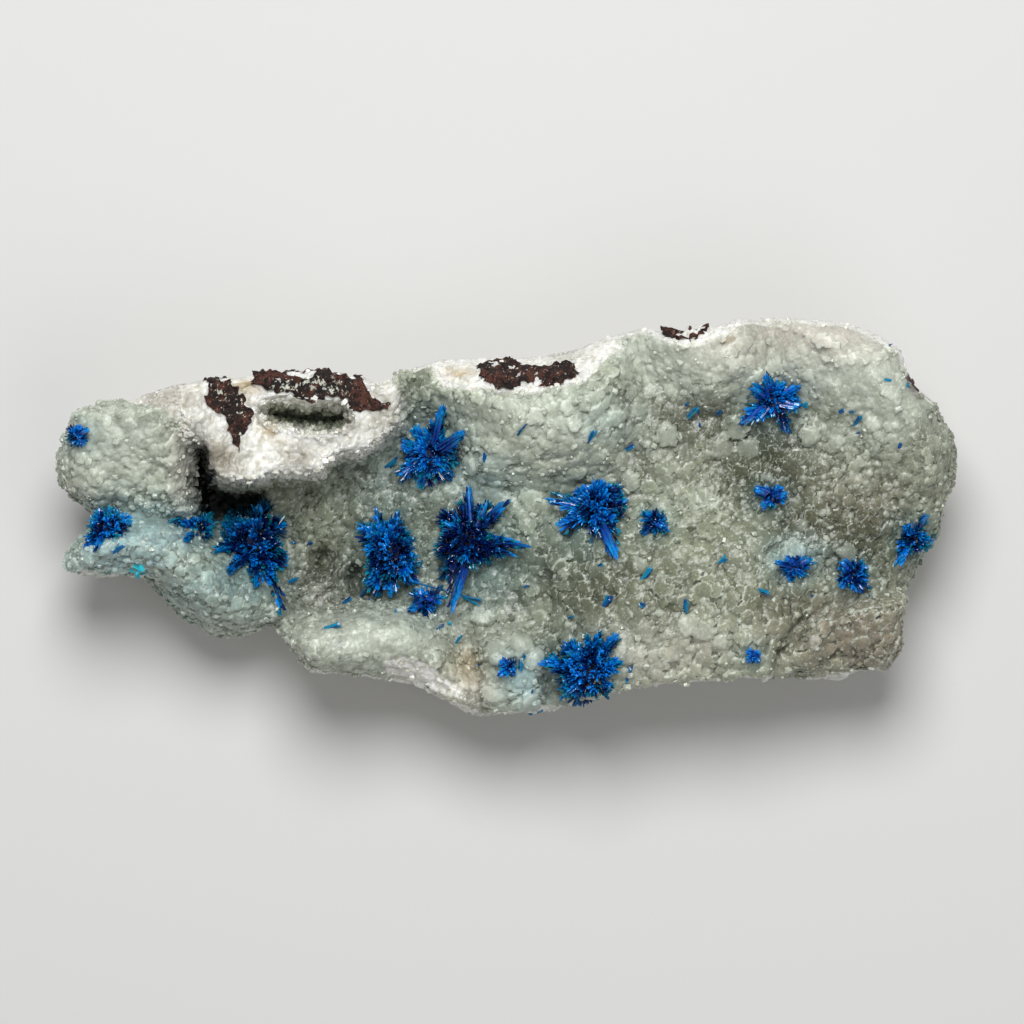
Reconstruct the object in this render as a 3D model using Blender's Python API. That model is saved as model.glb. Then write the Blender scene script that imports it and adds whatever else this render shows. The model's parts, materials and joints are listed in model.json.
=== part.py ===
"""A pentagonite specimen: blue crystal sprays on a drusy plate of white zeolite.

The plate lies on its back, which is cut flat. +Z points out of its crystal face, +X to
the right of it and +Y to its top edge. The origin is on the base, under the middle of
the box. Places on the face are pixels of the reference picture, counted right and down,
and PIXEL turns them into metres. Heights are in millimetres, counted from a level that
lies CUT_LEVEL under the flat cut.
"""

import math
import random
from typing import NamedTuple

import bmesh
import bpy
import numpy as np
from mathutils import Quaternion, Vector, geometry, noise
from mathutils.bvhtree import BVHTree

LENGTH = 0.120  # left to right, over everything
LEFT_PX, RIGHT_PX = 53.0, 959.0
TOP_PX, BOTTOM_PX = 314.5, 722.0
PIXEL = LENGTH / (RIGHT_PX - LEFT_PX)
CENTRE_PX = ((LEFT_PX + RIGHT_PX) / 2, (TOP_PX + BOTTOM_PX) / 2)
MM = 0.001
GAP = 0.3 * MM  # between neighbouring solids

OUTLINE = [
    (53, 464), (57, 450), (66, 429), (77, 411), (99, 404), (103, 400), (135, 399),
    (152, 389), (186, 380), (228, 376), (272, 373), (315, 371), (366, 376), (385, 380),
    (400, 373), (416, 361), (427, 357), (499, 355), (534, 354), (576, 346), (603, 335),
    (630, 327), (651, 325), (671, 334), (682, 333), (689, 326), (711, 325), (732, 317),
    (776, 314.5), (812, 316), (852, 321.5), (884, 335), (903, 347), (908, 362),
    (913, 377), (922, 389), (933, 396), (940, 403), (943, 419), (951, 426), (957, 439),
    (959, 455), (958, 480), (950, 493), (944, 520), (942, 537), (931, 551), (919, 565),
    (912, 582), (906, 589), (908, 604), (903, 620), (903, 646), (897, 661), (881, 675),
    (858, 677), (847, 685), (812, 684), (778, 679), (766, 683), (743, 682), (669, 688),
    (641, 692), (603, 697), (580, 707), (556, 716), (534, 718), (508, 718), (480, 722),
    (463, 717), (447, 707), (426, 696), (412, 689), (379, 684), (350, 679), (320, 678),
    (300, 669), (292, 652), (282, 636), (275, 628), (259, 630), (248, 636), (215, 637),
    (196, 627), (180, 619), (163, 601), (138, 581), (121, 577), (109, 581), (73, 577),
    (62, 562), (68, 548), (84, 535), (92, 517), (80, 508), (59, 485),
]
SPINE = [(115, 485), (200, 500), (350, 530), (550, 530), (750, 500), (870, 490)]

FACE_STEP_PX = 6.0  # grid of the face before it is thinned out
RIM_STEP_PX = 8.0
SIDE_RINGS = 14
BACK_SCALE = 0.76  # how far the sides are drawn in at level zero
EVENED_POINTS = 3  # to each side, where the sides lose the small bends of the rim
ROUGH_SIDES = [(120.0, 26.0), (60.0, 15.0)]  # size and depth of their lumps, in pixels
LEDGES = 1.7  # how much flatter than wide those lumps are
EVENED_BY = 0.5  # the share of the way down by which the sides have lost those bends
ROUGH_BY = 0.33  # and the share by which they have their full roughness
CUT_LEVEL = 5.0
MATRIX_TRIANGLES = 4000

FLOOR_REACH_PX = 42.0
FLOOR_LEVELS = [
    (80, 560, 15), (120, 560, 18), (270, 610, 17), (300, 520, 15), (330, 565, 13.5),
    (370, 500, 18), (400, 480, 20), (450, 520, 19.5), (430, 600, 18), (500, 590, 18),
    (540, 510, 21.5), (600, 500, 24), (600, 560, 23), (680, 470, 25), (720, 430, 25),
    (760, 460, 25), (700, 560, 26), (820, 460, 26), (860, 520, 26), (900, 540, 24),
    (930, 560, 20), (820, 570, 26), (650, 640, 26), (740, 640, 26), (500, 640, 22),
    (850, 640, 22),
]


class Lobe(NamedTuple):
    """A swelling of the face. Its crown slopes from one level point to the other."""

    outline: list
    foot: float
    crown: tuple
    shoulder: float  # width of its flank, in pixels
    steepness: float  # 1 for a gentle flank, 2 for a quarter round
    blend: float


class Pit(NamedTuple):
    """A hole in the face with steep walls, whose width is in pixels."""

    outline: list
    bottom: float
    wall: float


LOBES = {
    "knob": Lobe(
        [(38, 470), (50, 420), (75, 392), (140, 385), (186, 372), (192, 400),
         (194, 440), (192, 480), (187, 512), (150, 520), (110, 518), (80, 516),
         (55, 500)],
        19, ((115, 420, 31), (95, 505, 26)), 26, 1.6, 0.8),
    "tongue": Lobe(
        [(48, 575), (62, 540), (80, 522), (95, 512), (122, 503), (160, 502),
         (182, 512), (200, 525), (225, 540), (250, 556), (280, 585), (300, 610),
         (300, 640), (255, 650), (195, 645), (140, 598), (110, 592), (60, 592)],
        17, ((150, 530, 29), (250, 620, 23)), 46, 1.3, 1.0),
    "shelf": Lobe(
        [(150, 372), (186, 365), (400, 360), (407, 385), (406, 405), (398, 425),
         (385, 440), (366, 455), (340, 457), (327, 466), (318, 476), (295, 479),
         (270, 478), (240, 483), (222, 484), (209, 476), (202, 462), (197, 447),
         (184, 436), (172, 410), (150, 400)],
        26, ((250, 390, 31), (330, 460, 29)), 8, 2.0, 0.3),
    "brow": Lobe(
        [(392, 368), (425, 345), (500, 343), (590, 328), (640, 318), (652, 345),
         (662, 385), (655, 420), (640, 450), (612, 478), (575, 494), (535, 494),
         (500, 490), (475, 478), (458, 455), (440, 430), (420, 418), (400, 402)],
        20, ((570, 375, 31.5), (430, 395, 28)), 95, 1.25, 2.0),
    "top_mound": Lobe(
        [(630, 305), (720, 295), (765, 295), (776, 340), (780, 375), (765, 405),
         (740, 418), (705, 410), (680, 398), (655, 378), (640, 350)],
        25, ((720, 335, 32), (700, 385, 29)), 52, 1.2, 1.5),
    "right_dome": Lobe(
        [(750, 290), (850, 290), (915, 320), (950, 370), (990, 430), (985, 500),
         (955, 535), (915, 530), (880, 500), (855, 470), (830, 442), (812, 415),
         (790, 395), (765, 370), (758, 335)],
        24, ((850, 350, 33), (930, 470, 29)), 90, 1.15, 2.0),
    "lip": Lobe(
        [(275, 640), (300, 616), (340, 606), (380, 602), (412, 609), (440, 624),
         (455, 645), (470, 668), (485, 700), (490, 735), (440, 720), (400, 700),
         (300, 690), (285, 665)],
        21, ((350, 635, 29.5), (460, 690, 26)), 34, 1.6, 0.6),
    "bottom_plates": Lobe(
        [(480, 640), (500, 625), (530, 630), (545, 655), (540, 690), (540, 730),
         (490, 735), (478, 690)],
        22, ((515, 670, 27), (515, 715, 25)), 12, 1.6, 0.6),
    "low_plateau": Lobe(
        [(545, 560), (590, 515), (700, 495), (790, 525), (830, 580), (815, 640),
         (790, 705), (640, 715), (572, 730), (566, 680), (560, 630)],
        22, ((700, 610, 28.5), (600, 690, 26)), 90, 1.15, 2.0),
    "corner_block": Lobe(
        [(783, 650), (795, 628), (830, 605), (860, 596), (920, 585), (925, 640),
         (905, 690), (850, 700), (800, 695), (778, 690)],
        21, ((850, 630, 27.5), (850, 680, 24)), 24, 1.4, 0.8),
}

PITS = {
    "gap": Pit(
        [(198, 444), (205, 455), (209, 474), (223, 484), (242, 486), (264, 492),
         (270, 505), (262, 516), (243, 523), (225, 528), (203, 523), (193, 512),
         (191, 480)],
        8, 7),
    "slot": Pit(
        [(262, 402), (290, 400), (320, 404), (346, 406), (349, 421), (336, 433),
         (308, 431), (283, 427), (265, 420)],
        19, 6),
    "corner_crack": Pit(
        [(764, 692), (767, 665), (777, 639), (798, 616), (830, 604), (833, 615),
         (806, 629), (790, 649), (782, 672), (780, 692)],
        22, 14),
    "bottom_valley": Pit(
        [(543, 652), (560, 642), (570, 700), (566, 729), (546, 729), (541, 690)],
        20, 9),
    "left_hollow": Pit(
        [(306, 556), (316, 546), (330, 550), (334, 566), (322, 578), (310, 572)], 11, 10),
    "right_hollow": Pit(
        [(344, 566), (356, 564), (368, 578), (366, 596), (352, 598), (344, 584)], 11.5, 10),
}

EDGE_REACH_PX = 28.0
EDGE_STYLES = [  # a place on the rim, how far it drops, over what width in pixels
    (55, 460, 7, 40), (110, 400, 3.5, 18), (160, 386, 2, 10), (200, 379, 1.2, 7),
    (285, 373, 1.2, 7), (370, 377, 1.2, 7), (430, 357, 2, 10), (500, 355, 1.5, 9),
    (560, 349, 2, 12), (620, 331, 3, 20), (680, 333, 1.5, 8), (760, 315, 4, 26),
    (840, 320, 4.5, 30), (905, 350, 3.5, 24), (935, 400, 5, 30), (957, 440, 8, 50),
    (945, 520, 8, 50), (915, 580, 5, 30), (905, 630, 5, 26), (880, 675, 8, 34),
    (830, 684, 8, 34), (740, 683, 2, 10), (650, 690, 2, 10), (590, 702, 4, 18),
    (540, 717, 6, 30), (480, 720, 8, 42), (400, 687, 7, 38), (320, 678, 6, 32),
    (285, 645, 3.5, 18), (220, 636, 6, 36), (160, 600, 8, 48), (110, 581, 6, 34),
    (75, 576, 4, 22), (62, 560, 6, 36), (92, 517, 3, 14), (62, 490, 7, 36),
]

BROKEN_CRUST = [
    (140, 380), (200, 360), (400, 340), (640, 310), (740, 300), (745, 330), (700, 345),
    (640, 342), (600, 375), (560, 388), (500, 390), (440, 384), (405, 400), (385, 440),
    (340, 458), (300, 480), (215, 482), (200, 440), (180, 405),
]
CRUST_FADE_PX = 14.0

CROWN_REACH = (-0.2, 1.2)  # how far a crown's slope goes on beyond its two points
WANDER_PX, WANDER_SCALE_PX, WANDER_SEEDS = 5.0, 42.0, (1.5, 9.5)
LUMP_PX, LUMP_HEIGHT, LUMP_SEED = 38.0, 0.9, 0.37
CREASE_DEPTH, CREASE_SHARPNESS = 0.5, 4.0
CRUST_ROUGH_PX, CRUST_ROUGH_HEIGHT, CRUST_ROUGH_SEED = 22.0, 0.45, 13.5
SWELL_PX, SWELL_HEIGHT, SWELL_SEED = 80.0, 1.3, 4.5

BASALT = {
    "basalt_chip": [(205, 370), (222, 370), (232, 385), (246, 398), (253, 412),
                    (250, 426), (243, 440), (238, 447), (235, 440), (237, 428),
                    (227, 420), (214, 410), (207, 397)],
    "basalt_band": [(252, 362), (358, 362), (364, 382), (372, 393), (387, 405),
                    (384, 411), (370, 414), (357, 411), (348, 401), (333, 398),
                    (316, 399), (299, 396), (287, 390), (268, 388), (254, 385)],
    "basalt_streak": [(479, 376), (484, 363), (498, 345), (507, 345), (512, 362),
                      (524, 367), (542, 368), (556, 364), (570, 366), (581, 370),
                      (572, 376), (558, 383), (540, 384), (526, 380), (512, 388),
                      (494, 386)],
    "basalt_crumbs": [(650, 312), (708, 312), (706, 329), (691, 338), (676, 340),
                      (661, 333)],
}
BASALT_DEPTH = 4.0
ABOVE_ALL = LENGTH  # a height no part of the specimen reaches


class Spray(NamedTuple):
    """A burst of blades: its middle, its usual reach, and the tips of its long arms."""

    middle: tuple
    reach: float
    blades: int
    arms: list


SPRAYS = {
    "spray_knob": Spray((80, 436), 13, 5, [(70, 443), (91, 429), (72, 428)]),
    "spray_tongue": Spray((108, 530), 22, 6, [(86, 546), (132, 518), (97, 550), (117, 511)]),
    "spray_arm": Spray((196, 530), 17, 4, [(176, 522), (186, 540), (206, 520)]),
    "spray_fan": Spray((247, 547), 40, 5, [
        (212, 550), (238, 512), (266, 500), (283, 520), (284, 562), (283, 614), (256, 588),
        (228, 573), (226, 532)]),
    "spray_brow": Spray((430, 455), 31, 5, [
        (442, 405), (468, 430), (402, 447), (397, 479), (424, 489), (418, 427), (446, 481),
        (456, 446)]),
    "spray_centre_left": Spray((389, 553), 32, 5, [
        (375, 510), (397, 511), (357, 523), (363, 546), (373, 598), (392, 597), (413, 585),
        (420, 566), (406, 530)]),
    "spray_centre": Spray((464, 540), 33, 5, [
        (468, 485), (487, 499), (509, 500), (534, 547), (516, 557), (443, 511), (436, 553),
        (449, 613), (444, 581), (486, 562)]),
    "spray_needles": Spray((424, 601), 15, 5, [(409, 611), (440, 589), (444, 598), (424, 615)]),
    "spray_mid": Spray((600, 508), 28, 5, [
        (543, 500), (555, 528), (600, 479), (627, 506), (615, 557), (575, 491), (618, 486),
        (596, 534)]),
    "spray_mid_small": Spray((655, 522), 14, 5, [(641, 533), (667, 529)]),
    "spray_low": Spray((586, 673), 31, 5, [
        (598, 629), (619, 633), (540, 660), (566, 641), (622, 661), (561, 690), (586, 704),
        (611, 691)]),
    "spray_top": Spray((772, 399), 24, 5, [
        (764, 375), (751, 387), (739, 425), (756, 422), (799, 391), (798, 408), (787, 434)]),
    "spray_channel": Spray((772, 496), 14, 5, [(754, 488), (785, 494), (764, 508)]),
    "spray_low_right": Spray((795, 566), 15, 5, [(775, 562), (812, 564), (792, 579)]),
    "spray_right": Spray((853, 573), 17, 5, [(858, 595), (839, 585), (868, 586), (840, 561)]),
    "spray_edge": Spray((914, 537), 18, 5, [(925, 515), (902, 526), (935, 540), (896, 566)]),
    "spray_dot": Spray((752, 656), 8, 3, []),
    "spray_bottom": Spray((508, 667), 11, 4, []),
}

CRYSTALS_PX = [
    ((132, 566), (144, 571)), ((117, 551), (125, 544)), ((166, 522), (181, 517)),
    ((328, 627), (341, 624)), ((343, 604), (350, 599)), ((360, 597), (366, 590)),
    ((433, 632), (441, 625)), ((456, 643), (462, 636)), ((386, 466), (396, 460)),
    ((518, 434), (522, 427)), ((588, 441), (594, 431)), ((627, 450), (634, 444)),
    ((689, 417), (698, 407)), ((795, 408), (805, 402)), ((854, 424), (860, 416)),
    ((521, 666), (524, 655)), ((530, 716), (541, 713)), ((633, 664), (628, 679)),
    ((641, 579), (652, 566)), ((684, 612), (684, 600)), ((719, 562), (725, 557)),
    ((760, 590), (768, 595)), ((286, 584), (297, 579)), ((604, 604), (608, 594)),
    ((463, 597), (481, 601)),
]

BLADE_SHOULDER = 0.75  # where a blade starts to narrow to its point
BLADE_TAPER = 0.8
SLIMMING = (1.0, 0.7, 0.45)  # how much slimmer a blade gets where it would cut through others
BLADE_FLATNESS = 0.7
FACING = 0.9999
CORE_SHARE = 0.66  # the solid heart of a spray
CORE_SINK = 0.3
BLOCK_MARGIN = 1.0
ARM_LIFT = (1.2, 2.6)
BURST_RISE = (0.3, 0.98)  # from the flattest to the steepest blade, as the sine of its slope
BURST_REACH = (0.8, 1.05)
BURST_JITTER = 0.3
CRYSTAL_WIDTH = 0.95
CRYSTAL_LIFTS = (0.3, 1.3)
GOLDEN_ANGLE = math.pi * (3 - math.sqrt(5))
FLAT_ANGLE = math.radians(5)
SEED = 7
COLOURS = {
    "zeolite": ((0.66, 0.69, 0.60, 1), 0.45),
    "basalt": ((0.075, 0.022, 0.016, 1), 0.85),
    "pentagonite": ((0.005, 0.05, 0.42, 1), 0.2),
}


def clear_scene():
    for obj in list(bpy.data.objects):
        bpy.data.objects.remove(obj, do_unlink=True)


def plan_metres(points_px):
    """Pixels on the face, as x and y in metres."""
    points = np.asarray(points_px, float)
    return np.stack([points[:, 0] - CENTRE_PX[0], CENTRE_PX[1] - points[:, 1]], axis=1) * PIXEL


def raised(level):
    """A level in millimetres, as a height above the base in metres."""
    return (np.asarray(level, float) - CUT_LEVEL) * MM


def resampled(loop_px, step_px):
    """A smooth closed curve through the points, as points about one step apart."""
    points = np.asarray(loop_px, float)
    before, after, later = (np.roll(points, shift, axis=0) for shift in (1, -1, -2))
    curve = []
    for p0, p1, p2, p3 in zip(before, points, after, later):
        count = max(1, round(float(np.linalg.norm(p2 - p1)) / step_px))
        t = np.arange(count)[:, None] / count
        curve.append(0.5 * (
            2 * p1 + (p2 - p0) * t + (2 * p0 - 5 * p1 + 4 * p2 - p3) * t**2
            + (3 * p1 - p0 - 3 * p2 + p3) * t**3))
    return np.concatenate(curve)


def depth_inside(points, loop):
    """How far each point is inside the loop; outside it the number is negative."""
    starts = np.asarray(loop, float)
    along = np.roll(starts, -1, axis=0) - starts
    reach = points[:, None] - starts
    part = np.clip((reach * along).sum(2) / (along**2).sum(1), 0, 1)
    distance = np.linalg.norm(reach - part[..., None] * along, axis=2).min(1)
    rise = np.where(along[:, 1] == 0, 1e-9, along[:, 1])
    level = (reach[..., 1] >= 0) != (reach[..., 1] - along[:, 1] >= 0)
    left_of_edge = reach[..., 0] < along[:, 0] * reach[..., 1] / rise
    inside = (level & left_of_edge).sum(1) % 2 == 1
    return np.where(inside, distance, -distance)


def quarter_round(share):
    """0 to 1 along a quarter of a circle, steep at first."""
    return np.sqrt(1 - (1 - np.clip(share, 0, 1)) ** 2)


def soft_max(first, second, blend):
    share = np.clip(0.5 + (first - second) / (2 * blend), 0, 1)
    return second + (first - second) * share + blend * share * (1 - share)


def noise_at(points_px, scale_px, seed):
    return np.array([noise.noise(Vector((x / scale_px, y / scale_px, seed))) for x, y in points_px])


def wandered(points_px):
    shift = [noise_at(points_px, WANDER_SCALE_PX, seed) for seed in WANDER_SEEDS]
    return points_px + WANDER_PX * np.stack(shift, axis=1)


def crown_level(points_px, crown):
    (x1, y1, z1), (x2, y2, z2) = crown
    along = np.array([x2 - x1, y2 - y1], float)
    share = ((points_px - (x1, y1)) @ along) / (along @ along)
    return z1 + (z2 - z1) * np.clip(share, *CROWN_REACH)


def add_lobe(height, points_px, lobe):
    depth = depth_inside(points_px, lobe.outline)
    share = 1 - (1 - np.clip(depth / lobe.shoulder, 0, 1)) ** 2
    crown = crown_level(points_px, lobe.crown)
    level = lobe.foot + (crown - lobe.foot) * share ** (1 / lobe.steepness)
    return np.where(depth > 0, soft_max(height, level, lobe.blend), height)


def cut_pit(height, points_px, pit):
    share = np.clip(depth_inside(points_px, pit.outline) / pit.wall, 0, 1)
    return np.where(height > pit.bottom, height + (pit.bottom - height) * share, height)


def blended(points_px, places, reach_px):
    """Values listed at places on the face, blended between them by nearness."""
    places = np.asarray(places, float)
    squares = ((points_px[:, None] - places[:, :2]) ** 2).sum(2)
    squares -= squares.min(1, keepdims=True)
    weights = np.exp(-squares / (2 * reach_px**2))
    return (weights @ places[:, 2:]) / weights.sum(1, keepdims=True)


def edge_drop(points_px, depth):
    drop, width = blended(points_px, EDGE_STYLES, EDGE_REACH_PX).T
    return drop * (1 - quarter_round(depth / width))


def lump_relief(points_px):
    """Rounded lumps of druse that meet in creases."""
    relief = []
    for x, y in points_px:
        near = noise.voronoi(Vector((x / LUMP_PX, y / LUMP_PX, LUMP_SEED)))[0]
        crease = max(0.0, 1 - (near[1] - near[0]) * CREASE_SHARPNESS)
        relief.append(1 - min(1.0, near[0]) ** 2 - CREASE_DEPTH * crease)
    return LUMP_HEIGHT * np.array(relief)


def relief(points_px):
    """Lumps where druse grew, and rough breaks where the white crust is bare."""
    crust = np.clip(depth_inside(points_px, BROKEN_CRUST) / CRUST_FADE_PX, 0, 1)
    rough = CRUST_ROUGH_HEIGHT * noise_at(points_px, CRUST_ROUGH_PX, CRUST_ROUGH_SEED)
    return lump_relief(points_px) * (1 - crust) + rough * crust


def face_height(points_px, edge):
    """Height of the crystal face over each point, in millimetres."""
    points_px = np.asarray(points_px, float)
    shifted = wandered(points_px)
    height = blended(shifted, FLOOR_LEVELS, FLOOR_REACH_PX)[:, 0]
    for lobe in LOBES.values():
        height = add_lobe(height, shifted, lobe)
    swell = SWELL_HEIGHT * noise_at(points_px, SWELL_PX, SWELL_SEED)
    height = height + swell + relief(points_px)
    for pit in PITS.values():
        height = cut_pit(height, shifted, pit)
    depth = np.maximum(depth_inside(points_px, edge), 0)
    return height - edge_drop(points_px, depth)


def nearest_on_spine(point):
    best = None
    for start, end in zip(SPINE, SPINE[1:]):
        start, along = np.array(start, float), np.subtract(end, start).astype(float)
        share = np.clip((point - start) @ along / (along @ along), 0, 1)
        found = start + share * along
        if best is None or np.linalg.norm(point - found) < np.linalg.norm(point - best):
            best = found
    return best


def evened(loop, window):
    """A loop with its small bends averaged out."""
    shifts = range(-window, window + 1)
    return sum(np.roll(loop, shift, axis=0) for shift in shifts) / len(shifts)


def side_rings(edge_px, rim):
    """The rim carried down to level zero, drawn in towards the spine and rough."""
    anchors = np.array([nearest_on_spine(point) for point in edge_px])
    plain = evened(edge_px, EVENED_POINTS)
    rings = []
    for ring in range(1, SIDE_RINGS + 1):
        down = ring / SIDE_RINGS
        height = rim * (1 - down)
        loop = edge_px + (plain - edge_px) * min(1, down / EVENED_BY)
        outward = loop - anchors
        length = np.linalg.norm(outward, axis=1)
        inward = (1 - BACK_SCALE) * down**2 * length
        for size, depth in ROUGH_SIDES:
            places = np.column_stack([edge_px, LEDGES * height * MM / PIXEL]) / size
            rough = np.array([noise.voronoi(Vector(place))[0][0] for place in places])
            inward = inward + depth * rough * min(1, down / ROUGH_BY)
        plan = anchors + outward * (1 - inward / length)[:, None]
        rings.append(np.column_stack([plan_metres(plan), raised(height)]))
    return rings


def face_grid(edge_px):
    """Staggered grid points inside the edge."""
    rows = np.arange(TOP_PX, BOTTOM_PX, FACE_STEP_PX * math.sqrt(3) / 2)
    columns = np.arange(LEFT_PX, RIGHT_PX, FACE_STEP_PX)
    grid = [(x + (row % 2) * FACE_STEP_PX / 2, y) for row, y in enumerate(rows) for x in columns]
    grid = np.array(grid)
    return grid[depth_inside(grid, edge_px) > FACE_STEP_PX / 2]


def plate_mesh():
    """The whole plate as one dense closed mesh, before it is thinned out."""
    edge_px = resampled(OUTLINE, RIM_STEP_PX)
    plan = np.concatenate([edge_px, face_grid(edge_px)])
    loop = [(i, (i + 1) % len(edge_px)) for i in range(len(edge_px))]
    flat = [Vector(point) for point in plan]
    found = geometry.delaunay_2d_cdt(flat, loop, [], 1, 1e-6)
    height = face_height(plan, edge_px)
    face = np.column_stack([plan_metres(plan), raised(height)])
    rings = side_rings(edge_px, height[: len(edge_px)])

    mesh = bmesh.new()
    points = [mesh.verts.new(point) for point in face]
    for triangle in found[2]:
        mesh.faces.new([points[found[3][i][0]] for i in triangle])
    upper = points[: len(edge_px)]
    for ring in rings:
        lower = [mesh.verts.new(point) for point in ring]
        for i in range(len(edge_px)):
            j = (i + 1) % len(edge_px)
            mesh.faces.new([upper[i], upper[j], lower[j], lower[i]])
        upper = lower
    mesh.faces.new(upper)
    bmesh.ops.triangulate(mesh, faces=[face for face in mesh.faces if len(face.verts) > 4])
    bmesh.ops.recalc_face_normals(mesh, faces=mesh.faces)
    return mesh


def new_object(name, mesh, material):
    """Turns a bmesh into an object in the scene."""
    data = bpy.data.meshes.new(name)
    mesh.to_mesh(data)
    mesh.free()
    data.materials.append(material)
    obj = bpy.data.objects.new(name, data)
    bpy.context.scene.collection.objects.link(obj)
    return obj


def helper(name, mesh):
    """A cutter, which is no piece of the specimen."""
    obj = new_object(name, mesh, None)
    obj.hide_render = True
    obj.display_type = "WIRE"
    return obj


def apply_modifiers(obj):
    """Makes the result of the object's modifiers its own mesh, in its one material."""
    material = obj.data.materials[0]
    graph = bpy.context.evaluated_depsgraph_get()
    data = bpy.data.meshes.new_from_object(obj.evaluated_get(graph))
    obj.modifiers.clear()
    obj.data = data
    data.materials.clear()
    data.materials.append(material)


def add_boolean(obj, other, operation, solver="EXACT"):
    modifier = obj.modifiers.new(operation.lower(), "BOOLEAN")
    modifier.operation = operation
    modifier.object = other
    modifier.solver = solver


def edit(obj, change):
    """Runs a function on the object's mesh as a bmesh."""
    mesh = bmesh.new()
    mesh.from_mesh(obj.data)
    change(mesh)
    mesh.to_mesh(obj.data)
    mesh.free()


def cut_flat(mesh, point, outward):
    """Cuts off what lies beyond a plane, and closes the cut."""
    cut = bmesh.ops.bisect_plane(
        mesh, geom=mesh.verts[:] + mesh.edges[:] + mesh.faces[:],
        plane_co=point, plane_no=outward, clear_outer=True)
    rim = [item for item in cut["geom_cut"] if isinstance(item, bmesh.types.BMEdge)]
    bmesh.ops.holes_fill(mesh, edges=rim)
    bmesh.ops.recalc_face_normals(mesh, faces=mesh.faces)


def cut_base(mesh):
    cut_flat(mesh, (0, 0, 0), (0, 0, -1))
    bmesh.ops.triangulate(mesh, faces=mesh.faces[:])


def make_matrix(material):
    matrix = new_object("matrix", plate_mesh(), material)
    matrix.data.calc_loop_triangles()
    thin = matrix.modifiers.new("thin", "DECIMATE")
    thin.ratio = MATRIX_TRIANGLES / len(matrix.data.loop_triangles)
    apply_modifiers(matrix)
    edit(matrix, cut_base)
    return matrix


def prism(outline_px, low, high, grow_px=0.0):
    """An upright prism over an outline, grown outwards by some pixels."""
    points = np.asarray(outline_px, float)
    middle = points.mean(axis=0)
    before, after = np.roll(points, 1, axis=0), np.roll(points, -1, axis=0)
    tangent = after - before
    normal = np.stack([tangent[:, 1], -tangent[:, 0]], axis=1)
    normal /= np.linalg.norm(normal, axis=1, keepdims=True)
    turn = np.sign(((points - middle) * normal).sum())
    plan = plan_metres(points + grow_px * turn * normal)
    mesh = bmesh.new()
    bottom = mesh.faces.new([mesh.verts.new((x, y, low)) for x, y in plan])
    grown = bmesh.ops.extrude_face_region(mesh, geom=[bottom])
    top = [item for item in grown["geom"] if isinstance(item, bmesh.types.BMVert)]
    bmesh.ops.translate(mesh, vec=(0, 0, high - low), verts=top)
    bmesh.ops.recalc_face_normals(mesh, faces=mesh.faces)
    return mesh


def make_basalt(matrix, material):
    """Remnants of the host rock, each cut from the plate with a thin gap around it."""
    edge_px = resampled(OUTLINE, RIM_STEP_PX)
    pockets = []
    for name, outline in BASALT.items():
        floor = float(raised(np.median(face_height(outline, edge_px)) - BASALT_DEPTH))
        rock = new_object(name, prism(outline, floor, ABOVE_ALL), material)
        add_boolean(rock, matrix, "INTERSECT")
        apply_modifiers(rock)
        pocket = prism(outline, floor - GAP, ABOVE_ALL, GAP / PIXEL)
        pockets.append(helper(name + "_pocket", pocket))
    for pocket in pockets:
        add_boolean(matrix, pocket, "DIFFERENCE")
    apply_modifiers(matrix)
    for pocket in pockets:
        bpy.data.objects.remove(pocket, do_unlink=True)


def on_face(tree, point_px, lift):
    """The point of the face under a pixel, lifted off it by some millimetres."""
    x, y = plan_metres([point_px])[0]
    hit = tree.ray_cast(Vector((x, y, ABOVE_ALL)), Vector((0, 0, -1)))[0]
    return Vector((x, y, hit.z + lift * MM))


def flattened(offset, axis):
    """An offset from a blade's axis, squeezed across the blade's thin side."""
    return offset - axis * offset.dot(axis) * (1 - BLADE_FLATNESS)


def grow_blade(mesh, face, tip, thin_side, taper):
    """Draws a face out into a blade that narrows a little and ends in a point."""
    root = face.calc_center_median()
    shoulder = root.lerp(tip, BLADE_SHOULDER)
    foot = face.verts[:]
    neck = []
    for vert in foot:
        offset = flattened(vert.co - root, thin_side)
        neck.append(mesh.verts.new(shoulder + offset * taper))
    point = mesh.verts.new(tip)
    mesh.faces.remove(face)
    for i in range(len(foot)):
        j = (i + 1) % len(foot)
        mesh.faces.new([foot[i], foot[j], neck[j], neck[i]])
        mesh.faces.new([neck[i], neck[j], point])


def crosses_itself(mesh):
    """Whether a face cuts through another that it shares no point with."""
    tree = BVHTree.FromBMesh(mesh)
    corners = [set(face.verts) for face in mesh.faces]
    return any(not corners[a] & corners[b] for a, b in tree.overlap(tree))


def with_blade(mesh, tip, turn):
    """The mesh with a blade on the face towards the tip, slimmer where it is crowded."""
    direction = tip.normalized()
    thin_side = direction.orthogonal().normalized()
    thin_side.rotate(Quaternion(direction, turn))
    for slimness in SLIMMING:
        grown = mesh.copy()
        facing = max(grown.faces, key=lambda face: face.normal.dot(direction))
        if facing.normal.dot(direction) > FACING:
            grow_blade(grown, facing, tip, thin_side, BLADE_TAPER * slimness)
            if not crosses_itself(grown):
                mesh.free()
                return grown
        grown.free()
    return mesh


def burst_directions(count, draw):
    """Directions spread over the upper half of a ball."""
    lowest, highest = BURST_RISE
    directions = []
    for i in range(count):
        rise = lowest + (highest - lowest) * (i + draw.random()) / count
        heading = i * GOLDEN_ANGLE + draw.uniform(-BURST_JITTER, BURST_JITTER)
        level = math.sqrt(1 - rise * rise)
        directions.append(Vector((level * math.cos(heading), level * math.sin(heading), rise)))
    return directions


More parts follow.
